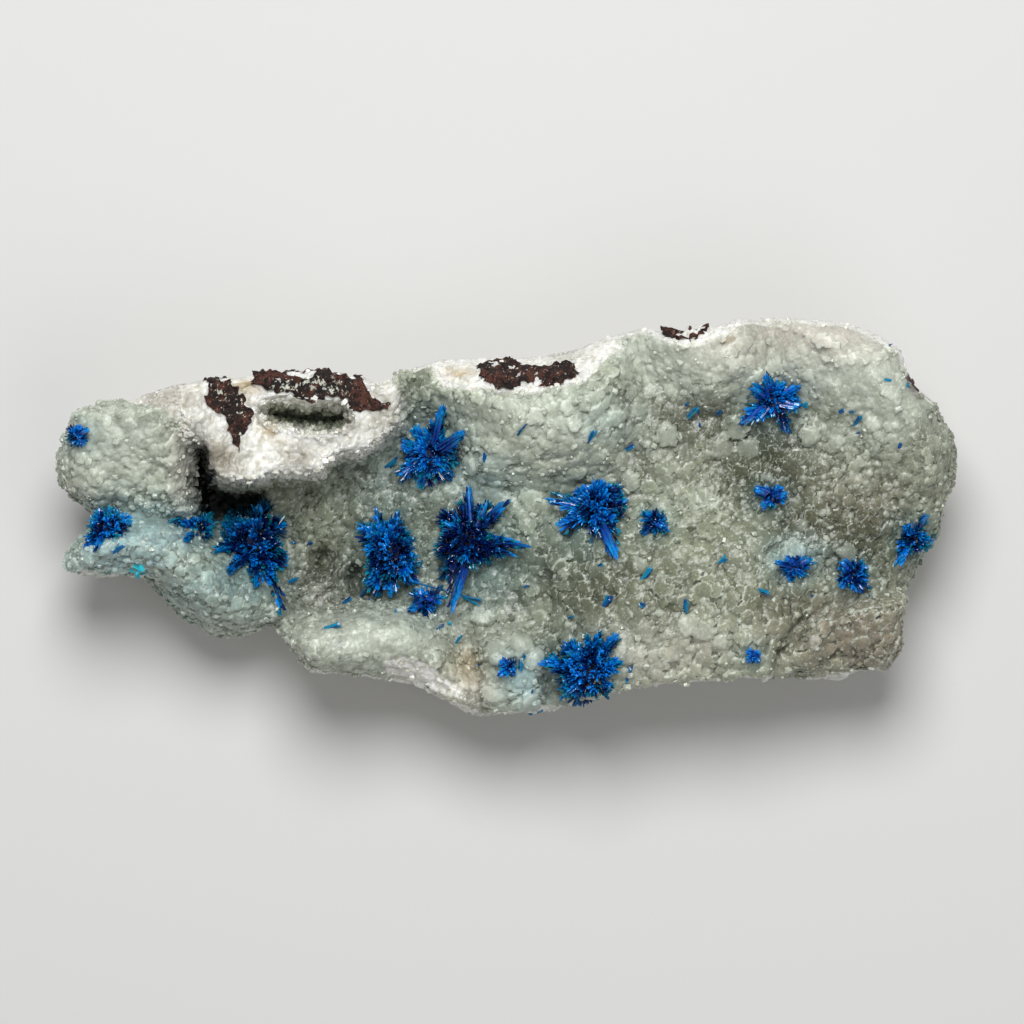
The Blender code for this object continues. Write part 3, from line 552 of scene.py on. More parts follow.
def cell_field(points, size, seed):
    """Rounded cells: 1 at the middle of each and 0 in the creases between them."""
    values = []
    for x, y, z in points / size:
        near = noise.voronoi(Vector((x + seed, y, z)))[0]
        values.append(1 - (near[0] / max(near[1], 1e-6)) ** 2)
    return np.array(values)


def crust_field(pixels, wander):
    """1 on the white broken crust, and 0 off it and in its slot."""
    edge = np.full(len(pixels), -np.inf)
    for loop in CRUST.values():
        edge = np.maximum(edge, depth_inside(pixels, loop))
    edge = np.minimum(edge, -depth_inside(pixels, SLOT))
    return step(edge + EDGE_WANDER_PX * wander, -CRUST_EDGE_PX / 2, CRUST_EDGE_PX / 2)


def beside_lines(pixels, lines, reach_px):
    """1 on the lines, and 0 farther from them than their reach."""
    near = np.min([distance_to_line(pixels, line) for line in lines], axis=0)
    return 1 - step(near, reach_px / 2, reach_px)


def tint_field(pixels, spots):
    """Soft oval spots; where they overlap, the strongest counts."""
    total = np.zeros(len(pixels))
    for x, y, across, down, strength in spots:
        square = ((pixels[:, 0] - x) / across) ** 2 + ((pixels[:, 1] - y) / down) ** 2
        total = np.maximum(total, strength * np.exp(-SPOT_FALL * square))
    return total


def glow_field(points):
    """Nearness to a spray, whose colour is painted as a glow through the druse around it."""
    total = np.zeros(len(points))
    for name in nodes_of("spray_"):
        low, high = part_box(name)
        middle = np.array((low + high) / 2)
        reach = np.array(high - low) / 2 + GLOW_REACH
        square = (((points - middle) / reach)[:, :2] ** 2).sum(1)
        total = np.maximum(total, np.exp(-GLOW_FALL * square))
    return total


def blended(pixels, places, reach):
    """Values listed at places on the face, blended between them by nearness."""
    places = np.asarray(places, float)
    total, weights = np.zeros(len(pixels)), np.full(len(pixels), 1e-9)
    for x, y, value in places:
        near = np.exp(-((pixels[:, 0] - x) ** 2 + (pixels[:, 1] - y) ** 2) / (2 * reach**2))
        total += near * value
        weights += near
    return (total + 1e-9 * places[:, 2].mean()) / weights


def fields(points):
    """The masks that the zeolite's material mixes its colours by."""
    pixels = to_pixels(points)
    wander = noise_field(points, *WANDER)
    shifted = pixels + TINT_WANDER_PX * wander[:, None]
    values = {name: tint_field(shifted, spots) for name, spots in TINTS.items()}
    values["crust"] = crust_field(pixels, wander)
    values["crust"] *= step(points[:, 2] + CRUST_WANDER * wander, *CRUST_FOOT)
    shifted = pixels + EDGE_WANDER_PX * wander[:, None]
    values["trimmed"] = beside_lines(shifted, TRIMMED_RIM, TRIMMED_PX)
    values["glow"] = glow_field(points)
    return values


def nodes_of(start):
    return sorted(name for name in frame["nodes"] if name.startswith(start))


# The plate


def open_to_sky(points, normals, tree):
    """1 where nothing of the plate lies above the point."""
    found = np.zeros(len(points))
    for i, (point, normal) in enumerate(zip(points, normals)):
        start = Vector(point + normal * LOOK_UP_FROM)
        if tree.ray_cast(start, Vector((0, 0, 1)))[0] is None:
            found[i] = 1
    return found


def grained(points, grains, field):
    """How far each point lies under the crests of a grain."""
    total = np.zeros(len(points))
    for size, depth, seed in grains:
        total -= depth * (1 - field(points, size, seed))
    return total


def spread(values, edges, rounds):
    """Values averaged with those of their neighbours, over and over."""
    first, second = edges.T
    count = np.bincount(edges.ravel(), minlength=len(values))
    for _ in range(rounds):
        total = np.bincount(first, values[second], len(values))
        total += np.bincount(second, values[first], len(values))
        values = total / count
    return values


def split_in_four(values, triangles):
    """Halves every edge, so that each triangle becomes four."""
    sides = np.concatenate([triangles[:, [0, 1]], triangles[:, [1, 2]], triangles[:, [2, 0]]])
    sides.sort(axis=1)
    keys = sides[:, 0].astype(np.int64) * len(values) + sides[:, 1]
    found, place = np.unique(keys, return_inverse=True)
    middles = (values[found // len(values)] + values[found % len(values)]) / 2
    ab, bc, ca = (len(values) + place.ravel()).reshape(3, -1)
    a, b, c = triangles.T
    parts = [(a, ab, ca), (ab, b, bc), (ca, bc, c), (ab, bc, ca)]
    return np.vstack([values, middles]), np.concatenate([np.column_stack(part) for part in parts])


def used_only(triangles, *arrays):
    """Drops the points that no triangle uses."""
    kept, index = np.unique(triangles, return_inverse=True)
    return (index.reshape(-1, 3), *(array[kept] for array in arrays))


def facing_of(points, triangles):
    """The direction that the surface faces at each point."""
    a, b, c = (points[triangles[:, k]] for k in range(3))
    across = np.cross(b - a, c - a)
    total = np.zeros_like(points)
    for k in range(3):
        for axis in range(3):
            total[:, axis] += np.bincount(triangles[:, k], across[:, axis], len(points))
    return total / np.maximum(np.linalg.norm(total, axis=1, keepdims=True), 1e-12)


def thinned(places, spacing):
    """Indices of places that keep their own spacing from those before them."""
    size = spacing.max()
    cells, kept = {}, []
    around = [(i, j, k) for i in (-1, 0, 1) for j in (-1, 0, 1) for k in (-1, 0, 1)]
    corners = np.floor(places / size).astype(int).tolist()
    listed = places.tolist()
    for index, ((x, y, z), (i, j, k)) in enumerate(zip(listed, corners)):
        limit = spacing[index] ** 2
        near = (
            other
            for di, dj, dk in around
            for other in cells.get((i + di, j + dj, k + dk), ()))
        if all((x - a) ** 2 + (y - b) ** 2 + (z - c) ** 2 > limit for a, b, c in near):
            cells.setdefault((i, j, k), []).append((x, y, z))
            kept.append(index)
    return kept


def tree_of_points(points):
    tree = kdtree.KDTree(len(points))
    for index, point in enumerate(points):
        tree.insert(point, index)
    tree.balance()
    return tree


class Druse:
    """The relief of overlapping lumps on the face, built up lump by lump."""

    def __init__(self, points, facing, calm):
        self.points, self.facing, self.calm = points, facing, calm
        self.tree = tree_of_points(points)
        self.height = np.zeros(len(points))
        self.rim = np.zeros(len(points))
        self.chance = np.full(len(points), 0.5)
        self.pearl = np.zeros(len(points))
        self.uneven = 1 + SCALLOPS * noise_field(points, SCALLOP_SIZE, 21)

    def add(self, lumps, chosen, radii, draw, pearl=0.0):
        """Lumps with their middles at the chosen points."""
        quiet = 1 - CALMING * self.calm[chosen] * (1 - pearl)
        domes = lumps.dome * radii * quiet
        lifts = lumps.lift * radii * quiet * draw.random(len(chosen))
        slopes = draw.normal(0, lumps.tilt, (len(chosen), 3)) * quiet[:, None]
        chances = draw.random(len(chosen))
        for number, place in enumerate(chosen):
            wins = self.add_one(
                self.points[place], self.facing[place], radii[number], domes[number],
                lifts[number], slopes[number])
            self.chance[wins] = chances[number]
            self.pearl[wins] = pearl

    def add_one(self, middle, axis, radius, dome, lift, slope):
        found = self.tree.find_range(middle, radius * (1 + SCALLOPS))
        near = np.array([index for _, index, _ in found])
        offset = self.points[near] - middle
        up = offset @ axis
        across = offset - up[:, None] * axis
        share = np.linalg.norm(across, axis=1) / (radius * self.uneven[near])
        level = lift + across @ slope + dome * np.sqrt(np.clip(1 - share**2, 0, 1)) - up
        level = np.minimum(level, HIGHEST)
        wins = (share < 1) & (level > self.height[near])
        self.height[near[wins]] = level[wins]
        self.rim[near[wins]] = share[wins]
        return near[wins]


def nearest_in_plan(pixels, height, place):
    """The topmost of the points that lie under a pixel."""
    off = np.hypot(pixels[:, 0] - place[0], pixels[:, 1] - place[1])
    return int(np.argmax(height - 1000 * np.maximum(off - 1, 0)))


def scatter(druse, lumps, weights, count, draw, pearl):
    """Lumps at random places, more of them where the weights are high."""
    chosen = draw.choice(len(weights), size=count, replace=False, p=weights / weights.sum())
    radii = draw.uniform(*lumps.radius, count) * MM
    kept = thinned(druse.points[chosen], radii * lumps.spacing)
    druse.add(lumps, chosen[kept], radii[kept], draw, pearl)


def druse_relief(points, facing, values):
    """How far the face stands out at each point. It adds what the material needs to know."""
    pixels = to_pixels(points)
    snow = np.maximum(values["crust"], values["trimmed"])
    calm = np.maximum(tint_field(pixels, CALM), SNOW_CALM * snow)
    size = blended(pixels, LUMP_SIZES, LUMP_SIZE_REACH) * (1 - SNOW_SMALLER * snow)
    druse = Druse(points, facing, calm)
    draw = np.random.default_rng(11)
    order = draw.permutation(len(points))[:CANDIDATES]
    radii = size[order] * draw.uniform(*SCALES.radius, len(order)) * MM
    kept = thinned(points[order], radii * SCALES.spacing)
    druse.add(SCALES, order[kept], radii[kept], draw)
    edge = values["crust"] * (1 - values["crust"]) + beside_lines(pixels, JAGGED, JAGGED_PX)
    scatter(druse, TEETH, edge + LEAST, TEETH_CANDIDATES, draw, 0.0)
    balls = [nearest_in_plan(pixels, points[:, 2], place) for place in ROSETTES_PX]
    sizes = np.array([radius for _, _, radius in ROSETTES_PX]) * PIXEL
    druse.add(ROSETTES, np.array(balls), sizes, draw, ROSETTE_WHITE)
    pearly = (PEARLS_ANYWHERE + tint_field(pixels, PEARLY)) * (1 - calm) ** 2 * (1 - snow)
    scatter(druse, PEARLS, pearly + LEAST, PEARL_CANDIDATES, draw, PEARL_WHITE)
    beads = grained(points, BEADS, cell_field)
    values["bead"] = 1 + beads / sum(depth for _, depth, _ in BEADS)
    values["rise"] = np.clip(druse.height / FULL_RISE, 0, 1)
    values["rim"], values["chance"], values["pearl"] = druse.rim, druse.chance, druse.pearl
    sugar = grained(points, SUGAR, noise_field) * snow
    beads = beads * (1 - CALM_BEADS * calm) * (BEADS_INSIDE + BEADS_AT_RIM * druse.rim)
    return druse.height - FLOOR_DEPTH * (1 - CALM_FLOOR * calm) + beads + sugar


def make_face_piece(name, points, facing, triangles, values, material):
    names = sorted(values)
    columns = np.column_stack([values[key] for key in names])
    triangles, points, facing, columns = used_only(triangles, points, facing, columns)
    mesh = triangle_mesh(name, points, triangles)
    set_values(mesh, dict(zip(names, columns.T)))
    shade(mesh, True)
    mesh.normals_split_custom_set_from_vertices(facing)
    dressed(linked(name, mesh), material, [])


def crystal_shape(draw):
    """A stubby crystal along z with a slanting point, and with its foot sunk."""
    angles = (np.arange(CRYSTAL_SIDES) + 0.5) * math.tau / CRYSTAL_SIDES
    angles += draw.uniform(-0.2, 0.2, CRYSTAL_SIDES)
    ring = np.column_stack([np.cos(angles), np.sin(angles)])
    foot = np.column_stack([ring * 0.85, np.full(CRYSTAL_SIDES, -0.5)])
    neck = np.column_stack([ring, draw.uniform(0.15, 0.6, CRYSTAL_SIDES)])
    points = np.vstack([foot, neck, [(*draw.uniform(-0.45, 0.45, 2), 1)]])
    triangles = [(0, i + 1, i) for i in range(1, CRYSTAL_SIDES - 1)]
    for i in range(CRYSTAL_SIDES):
        j = (i + 1) % CRYSTAL_SIDES
        low, high, tip = (i, j), (CRYSTAL_SIDES + i, CRYSTAL_SIDES + j), 2 * CRYSTAL_SIDES
        triangles += [(*low, high[1]), (low[0], high[1], high[0]), (*high, tip)]
    return points, np.array(triangles)


def crystal_weights(points, facing, values):
    """Where crystals stand close: on the rims of the lumps, and along edges and steep sides."""
    pixels = to_pixels(points)
    calm = np.clip(tint_field(pixels, CALM), 0, MOST_CALM)
    rims = step(values["rim"], 0.6, 0.95)
    grouped = step(noise_field(points, CRYSTAL_GROUPS, 31), -0.1, 0.35)
    steep = step(1 - facing[:, 2], 0.45, 0.95)
    share = CRYSTAL_SHARES
    even = share["anywhere"] + share["rims"] * rims + share["groups"] * grouped
    even = even * (1 - calm) * (1 - share["off_crust"] * values["crust"])
    free = (even + share["steep"] * steep) * (1 - share["off_trimmed"] * values["trimmed"])
    return free + share["jagged"] * beside_lines(pixels, JAGGED, JAGGED_PX)


def make_crystals(points, facing, values):
    """Small crystals all over the face, as one mesh."""
    draw = np.random.default_rng(41)
    weights = crystal_weights(points, facing, values)
    chosen = draw.choice(len(points), CRYSTALS, replace=False, p=weights / weights.sum())
    low, high = CRYSTAL_RADIUS
    radius = (low + (high - low) * draw.random(CRYSTALS) ** 1.5) * MM
    axes = unit(facing[chosen] + draw.normal(0, CRYSTAL_TILT, (CRYSTALS, 3)))
    height = radius * draw.uniform(*CRYSTAL_HEIGHT, CRYSTALS)
    shapes = [crystal_shape(draw) for _ in range(8)]
    points, triangles, owners, heights = joined_shapes(
        shapes, draw.integers(len(shapes), size=CRYSTALS),
        turned(axes, draw.uniform(0, math.tau, CRYSTALS)),
        np.column_stack([radius, radius * draw.uniform(0.6, 1, CRYSTALS), height]),
        points[chosen])
    mesh = triangle_mesh("zeolite_crystals", points, triangles)
    values = {key: numbers[chosen[owners]] for key, numbers in values.items()}
    values["chance"] = draw.random(CRYSTALS)[owners]
    values["pearl"] = np.clip(heights, 0, 1) * draw.uniform(0, 0.4, CRYSTALS)[owners]
    set_values(mesh, values)
    shade(mesh, False)
    crystal = zeolite(
        "zeolite_crystal", Roughness=0.2, Subsurface_Weight=0.3, Subsurface_Scale=0.2 * MM)
    dressed(linked(mesh.name, mesh), crystal, [])


def make_face(points, facing, face, triangles, material):
    """The crystal face as a fine mesh in a few pieces."""
    triangles = triangles[face[triangles].min(axis=1) > FACE_FROM]
    columns, triangles = split_in_four(np.column_stack([points, facing, face]), triangles)
    triangles, columns = used_only(triangles, columns)
    points, facing, face = columns[:, :3], columns[:, 3:6], columns[:, 6]
    facing = unit(facing)
    values = fields(points)
    relief = druse_relief(points, facing, values)
    points = points + facing * (relief * step(face, *FACE_RISE))[:, None]
    facing = facing_of(points, triangles)
    middle = points[triangles[:, 0], 0]
    bounds = np.quantile(middle, np.linspace(0, 1, FACE_PIECES + 1))
    for number in range(FACE_PIECES):
        part = (middle >= bounds[number]) & (middle <= bounds[number + 1])
        name = f"zeolite_face_{number + 1}"
        make_face_piece(name, points, facing, triangles[part], values, material)
    make_crystals(points, facing, values)
    return points, triangles


def filled_plate():
    """The matrix with the basalt grown into it, so that no gap lies between them."""
    shape = bmesh.new()
    shape.from_mesh(frame["nodes"]["matrix"].data)
    for node in nodes_of("basalt_"):
        solid = welded(frame["nodes"][node].data)
        growth = normals_of(solid) * FILL
        growth[:, 2] = np.minimum(growth[:, 2], 0)
        set_points(solid, points_of(solid) + growth)
        shape.from_mesh(solid)
        bpy.data.meshes.remove(solid)
    mesh = bpy.data.meshes.new("zeolite_plate")
    shape.to_mesh(mesh)
    shape.free()
    return mesh


def face_field(mesh):
    """1 on the crystal face and on the walls of its hollows, and 0 on the broken rest."""
    edges = edges_of(mesh)
    top = open_to_sky(points_of(mesh), normals_of(mesh), tree_of(mesh))
    near = spread(top, edges, FACE_SPREAD)
    wide = spread(near, edges, WALL_SPREAD - FACE_SPREAD)
    return np.maximum(near, step(wide, *WALL_EDGE))


def make_plate(druse, walls):
    """The plate with its broken walls, and its face, from the solid."""
    plate = linked("zeolite_plate", filled_plate())
    modified(plate, "REMESH", mode="VOXEL", voxel_size=VOXEL)
    modified(plate, "SMOOTH", factor=0.5, iterations=SMOOTHING)
    mesh = plate.data
    points = points_of(mesh)
    facing = normals_of(mesh)
    face = face_field(mesh)
    skin = make_face(points, facing, face, triangles_of(mesh), druse)
    shift = -BODY_DEPTH * step(face, *BODY_SINK)
    shift += (1 - face) * grained(points, BREAK_GRAIN, noise_field)
    shift[points[:, 2] < VOXEL] = 0
    set_points(mesh, points + facing * shift[:, None])
    modified(plate, "DECIMATE", ratio=BODY_TRIANGLES / len(mesh.loop_triangles))
    set_points(plate.data, points_of(plate.data))
    values = fields(points_of(plate.data))
    count = len(plate.data.vertices)
    values["broken"] = 1 - step(face_field(plate.data), *BREAK_EDGE)
    values["broken"] *= 1 - values["crust"]
    for name, level in BREAK_LEVELS.items():
        values[name] = np.full(count, level)
    set_values(plate.data, values)
    shade(plate.data, True)
    dressed(plate, walls, ["matrix"])
    return skin


# Sprays


def samples_on(mesh, weights, count, draw):
    """Random points on a mesh, more of them where the weights are high."""
    corners = triangles_of(mesh)
    points, normals = points_of(mesh), normals_of(mesh)
    a, b, c = (points[corners[:, k]] for k in range(3))
    area = np.linalg.norm(np.cross(b - a, c - a), axis=1) / 2
    share = area * weights[corners].mean(axis=1)
    chosen = draw.choice(len(corners), size=count, p=share / share.sum())
    u, v = draw.random(count), draw.random(count)
    fold = u + v > 1
    u[fold], v[fold] = 1 - u[fold], 1 - v[fold]
    a, b, c = a[chosen], b[chosen], c[chosen]
    places = a + (b - a) * u[:, None] + (c - a) * v[:, None]
    facing = normals[corners[chosen]].mean(axis=1)
    return places, unit(facing)


def turned(axes, turns):
    """One rotation matrix for each axis: its z to the axis, turned about it."""
    side = np.where(np.abs(axes[:, [2]]) < 0.9, [[0, 0, 1.0]], [[1.0, 0, 0]])
    x = np.cross(side, axes)
    x /= np.linalg.norm(x, axis=1, keepdims=True)
    y = np.cross(axes, x)
    cos, sin = np.cos(turns)[:, None], np.sin(turns)[:, None]
    return np.stack([x * cos + y * sin, y * cos - x * sin, axes], axis=2)


def blade_shape(draw):
    """A slim four-sided blade along z, from 0 to 1, that ends in a slanting point."""
    angles = np.arange(4) * math.tau / 4
    ring = np.column_stack([np.cos(angles), np.sin(angles)])
    taper, slant = draw.uniform(0.75, 1.0), draw.uniform(-0.6, 0.6)
    foot = np.column_stack([ring * 0.8, np.zeros(4)])
    neck = np.column_stack([ring * taper, np.full(4, draw.uniform(0.82, 0.93))])
    points = np.vstack([foot, neck, [(slant, 0, 1)]])
    triangles = [(0, 2, 1), (0, 3, 2)]
    for i in range(4):
        j = (i + 1) % 4
        triangles += [(i, j, 4 + j), (i, 4 + j, 4 + i), (4 + i, 4 + j, 8)]
    return points, np.array(triangles)


def joined_shapes(shapes, kinds, spin, scale, places):
    """The points and triangles of many small shapes, each turned, scaled and put in place.

    It also gives the shape that each point belongs to, and how high in that shape it is.
    """
    parts, start = [], 0
    for kind, (shape, faces) in enumerate(shapes):
        chosen = np.flatnonzero(kinds == kind)
        local = shape[None] * scale[chosen, None]
        world = np.einsum("nij,npj->npi", spin[chosen], local) + places[chosen, None]
        index = start + np.arange(len(chosen))[:, None, None] * len(shape) + faces[None]
        parts.append((
            world.reshape(-1, 3), index.reshape(-1, 3), np.repeat(chosen, len(shape)),
            np.tile(shape[:, 2], len(chosen))))
        start += len(chosen) * len(shape)
    return tuple(np.concatenate(part) for part in zip(*parts))


def blade_mesh(name, roots, tips, widths, values, draw, core=None):
    """One mesh of blades from roots to tips, round a core if there is one."""
    shapes = [blade_shape(random.Random(i)) for i in range(6)]
    along = tips - roots
    lengths = np.linalg.norm(along, axis=1)
    spin = turned(along / lengths[:, None], draw.uniform(0, math.tau, len(roots)))
    kinds = draw.integers(len(shapes), size=len(roots))
    flat = draw.uniform(0.4, 0.75, len(roots))
    scale = np.column_stack([widths / 2, widths / 2 * flat, lengths])
    points, triangles, owners, reach = joined_shapes(shapes, kinds, spin, scale, roots)
    values = {key: numbers[owners] for key, numbers in values.items()}
    values["reach"] = reach
    if core:
        inner = points_of(core)
        triangles = np.vstack([triangles, triangles_of(core) + len(points)])
        points = np.vstack([points, inner])
        for key, level in CORE_VALUES.items():
            values[key] = np.append(values[key], np.full(len(inner), level))
    mesh = triangle_mesh(name, points, triangles)
    set_values(mesh, values)
    shade(mesh, False)
    return mesh


def heart_of(mesh):
    """The point that a spray's blades spread from."""
    points = points_of(mesh)
    middle = points.mean(axis=0)
    middle[2] = points[:, 2].min() + 0.25 * np.ptp(points[:, 2])
    return middle


def arm_tips(mesh, heart):
    """The points of a spray's long blades: farther out than all their neighbours."""
    points = points_of(mesh)
    far = np.linalg.norm(points - heart, axis=1)
    highest = np.ones(len(points), bool)
    for a, b in edges_of(mesh):
        highest[a if far[a] < far[b] else b] = False
    return points[highest & (far > ARM_FROM * np.median(far))]


def welded(mesh):
    """A copy of the mesh whose faces share their points."""
    shape = bmesh.new()
    shape.from_mesh(mesh)
    bmesh.ops.remove_doubles(shape, verts=shape.verts, dist=0.005 * MM)
    copy = bpy.data.meshes.new(mesh.name + "_welded")
    shape.to_mesh(copy)
    shape.free()
    return copy


def spray_tufts(node, solid, heart, number, draw):
    """Roots, tips, widths and values of the fine blades all over a spray's solid."""
    outward = (normals_of(solid)[:, 2] > -0.3).astype(float) + 0.02
    places, facing = samples_on(solid, outward, TUFT_CANDIDATES, draw)
    kept = thinned(places, np.full(len(places), TUFT_SPACING * MM))
    places, facing = places[kept], facing[kept]
    far = np.linalg.norm(places - heart, axis=1)
    kept = draw.random(len(far)) > ARM_THINNING * step(far / np.median(far), 1.2, 1.5)
    places, facing = places[kept], facing[kept]
    ray = places - heart
    far = np.linalg.norm(ray, axis=1, keepdims=True)
    slim = 1 - ARM_SLIMMING * step(far / np.median(far), ARM_FROM, 1.5)
    axis = unit(ray / far + slim * (0.35 * facing + draw.normal(0, 0.12, ray.shape)))
    length = np.minimum(draw.uniform(*TUFT_LENGTH, (len(places), 1)) * MM, far * 0.95)
    # painted light and shade of each tuft
    lit = USUAL_LIGHT + SPRAY_LIGHT.get(node, 0)
    lit += CLUMP_CONTRAST * noise_field(places, CLUMP_SIZE, number)
    lit += LIT_SHARE * facing @ LIT_FROM + draw.normal(0, 0.1, len(places))
    fringe = step(1 - facing[:, 2], 0.4, 0.9) * draw.uniform(0.2, 1.2, len(places))

    def each(values):
        return np.repeat(values, TUFT_BLADES, axis=0)

    splay = draw.normal(0, TUFT_SPLAY, (len(places) * TUFT_BLADES, 3))
    aim = unit(each(axis) + each(slim) * splay)
    roots = each(places - axis * length * (1 - TUFT_JUT))
    tips = roots + aim * each(length) * draw.uniform(0.7, 1.1, (len(aim), 1))
    widths = draw.uniform(*BLADE_WIDTH, len(roots)) * MM
    return roots, tips, widths, each(lit) + draw.normal(0, 0.14, len(roots)), each(fringe)


def spray_arms(solid, heart, draw):
    """The same of the bundles of long blades along a spray's arms."""
    parts = []
    heart = heart + (0, 0, ARM_RISE)
    for tip in arm_tips(solid, heart):
        side = draw.normal(0, ARM_SPREAD * MM, (ARM_BLADES, 3))
        parts.append((
            heart + (tip - heart) * draw.uniform(0.2, 0.55, (ARM_BLADES, 1)) + side,
            heart + (tip - heart) * draw.uniform(0.7, 1.0, (ARM_BLADES, 1)) + side * 0.8,
            draw.uniform(*ARM_WIDTH, ARM_BLADES) * MM,
            draw.uniform(*ARM_LIGHT, ARM_BLADES),
            draw.uniform(*ARM_FRINGE, ARM_BLADES)))
    return [np.concatenate(part) for part in zip(*parts)]


def make_spray(node, material, number):
    """A spray as tufts of fine blades round its own solid, which shrinks to be their core."""
    draw = np.random.default_rng(100 + number)
    solid = welded(frame["nodes"][node].data)
    heart = heart_of(solid)
    parts = spray_tufts(node, solid, heart, number, draw)
    arms = spray_arms(solid, heart, draw)
    if arms:
        parts = [np.concatenate(pair) for pair in zip(parts, arms)]
    roots, tips, widths, lit, fringe = parts
    # chance carries the painted light and shade of the blades
    values = {"chance": np.clip(lit, 0, 1), "fringe": fringe}
    set_points(solid, heart + (points_of(solid) - heart) * CORE_SHARE)
    mesh = blade_mesh(node + "_blades", roots, tips, widths, values, draw, solid)
    bpy.data.meshes.remove(solid)
    return dressed(linked(mesh.name, mesh), material, [node])


def resting(tree, x, y):
    """The face under a place, or under the nearest place towards the middle that has it."""
    for share in np.linspace(1, 0.8, 41):
        hit = tree.ray_cast(Vector((x * share, y * share, 1)), Vector((0, 0, -1)))[0]
        if hit and hit.z > 4 * MM:
            break
    return np.array(hit)


def make_loose_blades(skin, material):
    """The smallest blades, singly and in pairs on the druse."""
    draw = np.random.default_rng(300)
    tree = BVHTree.FromPolygons(skin[0].tolist(), skin[1].tolist())
    roots, tips, widths = [], [], []
    nodes = nodes_of("crystal_")
    for name in nodes:
        points = points_of(frame["nodes"][name].data)
        middle = points.mean(axis=0)
        spread_along = np.linalg.svd(points - middle)[2][0]
        share = (points - middle) @ spread_along
        ends = middle + spread_along * share.min(), middle + spread_along * share.max()
        low, high = sorted(ends, key=lambda end: end[2])
        settled = resting(tree, *low[:2]) - low
        for _ in range(BLADES_EACH):
            roots.append(low + settled - (high - low) * 0.2 + draw.normal(0, 0.1, 3) * MM)
            tips.append(high + settled + draw.normal(0, 0.22, 3) * MM)
            widths.append(draw.uniform(0.3, 0.6) * MM)
    for number, (x_px, y_px, length_px, heading) in enumerate(LOOSE_PX):
        thickness = CYAN_THICKNESS if number < CYAN_COUNT else 1
        turn = math.radians(heading)
        half = length_px * PIXEL / 2
        along = np.array([math.cos(turn), math.sin(turn), 0]) * half
        middle = resting(tree, *plan_metres((x_px, y_px))) + np.array([0, 0, 0.1 * MM])
        lift = np.array([0, 0, 0.3 * MM])
        for _ in range(LOOSE_BLADES):
            jitter = draw.normal(0, 0.12, 3) * MM
            roots.append(middle - along - lift + jitter)
            tips.append(middle + along + lift + jitter)
            widths.append(draw.uniform(*LOOSE_WIDTH) * MM * thickness)
    for ends, place, lift in zip((roots, tips), NEEDLE_PX, NEEDLE_LIFTS):
        ends.append(resting(tree, *plan_metres(place)) + np.array([0, 0, lift]))
    widths.append(NEEDLE_WIDTH)
    values = {"chance": draw.random(len(roots))}
    bright = slice(BLADES_EACH * len(nodes), BLADES_EACH * len(nodes) + LOOSE_BLADES * CYAN_COUNT)
    values["chance"][bright] += 1
    mesh = blade_mesh(
        "loose_blades", np.array(roots), np.array(tips), np.array(widths), values, draw)
    return dressed(linked(mesh.name, mesh), material, nodes)


# Basalt


def make_basalt(node, material):
    rock = linked(node + "_rough", welded(frame["nodes"][node].data))
    growth = normals_of(rock.data) * BASALT_GROWTH
    growth[:, 2] *= BASALT_RISE
    set_points(rock.data, points_of(rock.data) + growth)
    modified(rock, "REMESH", mode="VOXEL", voxel_size=BASALT_VOXEL)
    mesh = rock.data
    points, normals = points_of(mesh), normals_of(mesh)
    shift = grained(points, BASALT_GRAIN, noise_field) / 2
    shift -= 0.25 * MM * step(cell_field(points, 0.8 * MM, 2), 0.72, 0.9)
    points = points + normals * shift[:, None]
    for size, reach in BASALT_RAGGED:
        for axis in (0, 1):
            points[:, axis] += reach * noise_field(points, size, 50 + axis)
    set_points(mesh, points)
    modified(rock, "TRIANGULATE")
    set_values(rock.data, {"patch": tint_field(to_pixels(points_of(rock.data)), BASALT_PATCHES)})
    shade(rock.data, True)
    return dressed(rock, material, [node])


# Materials


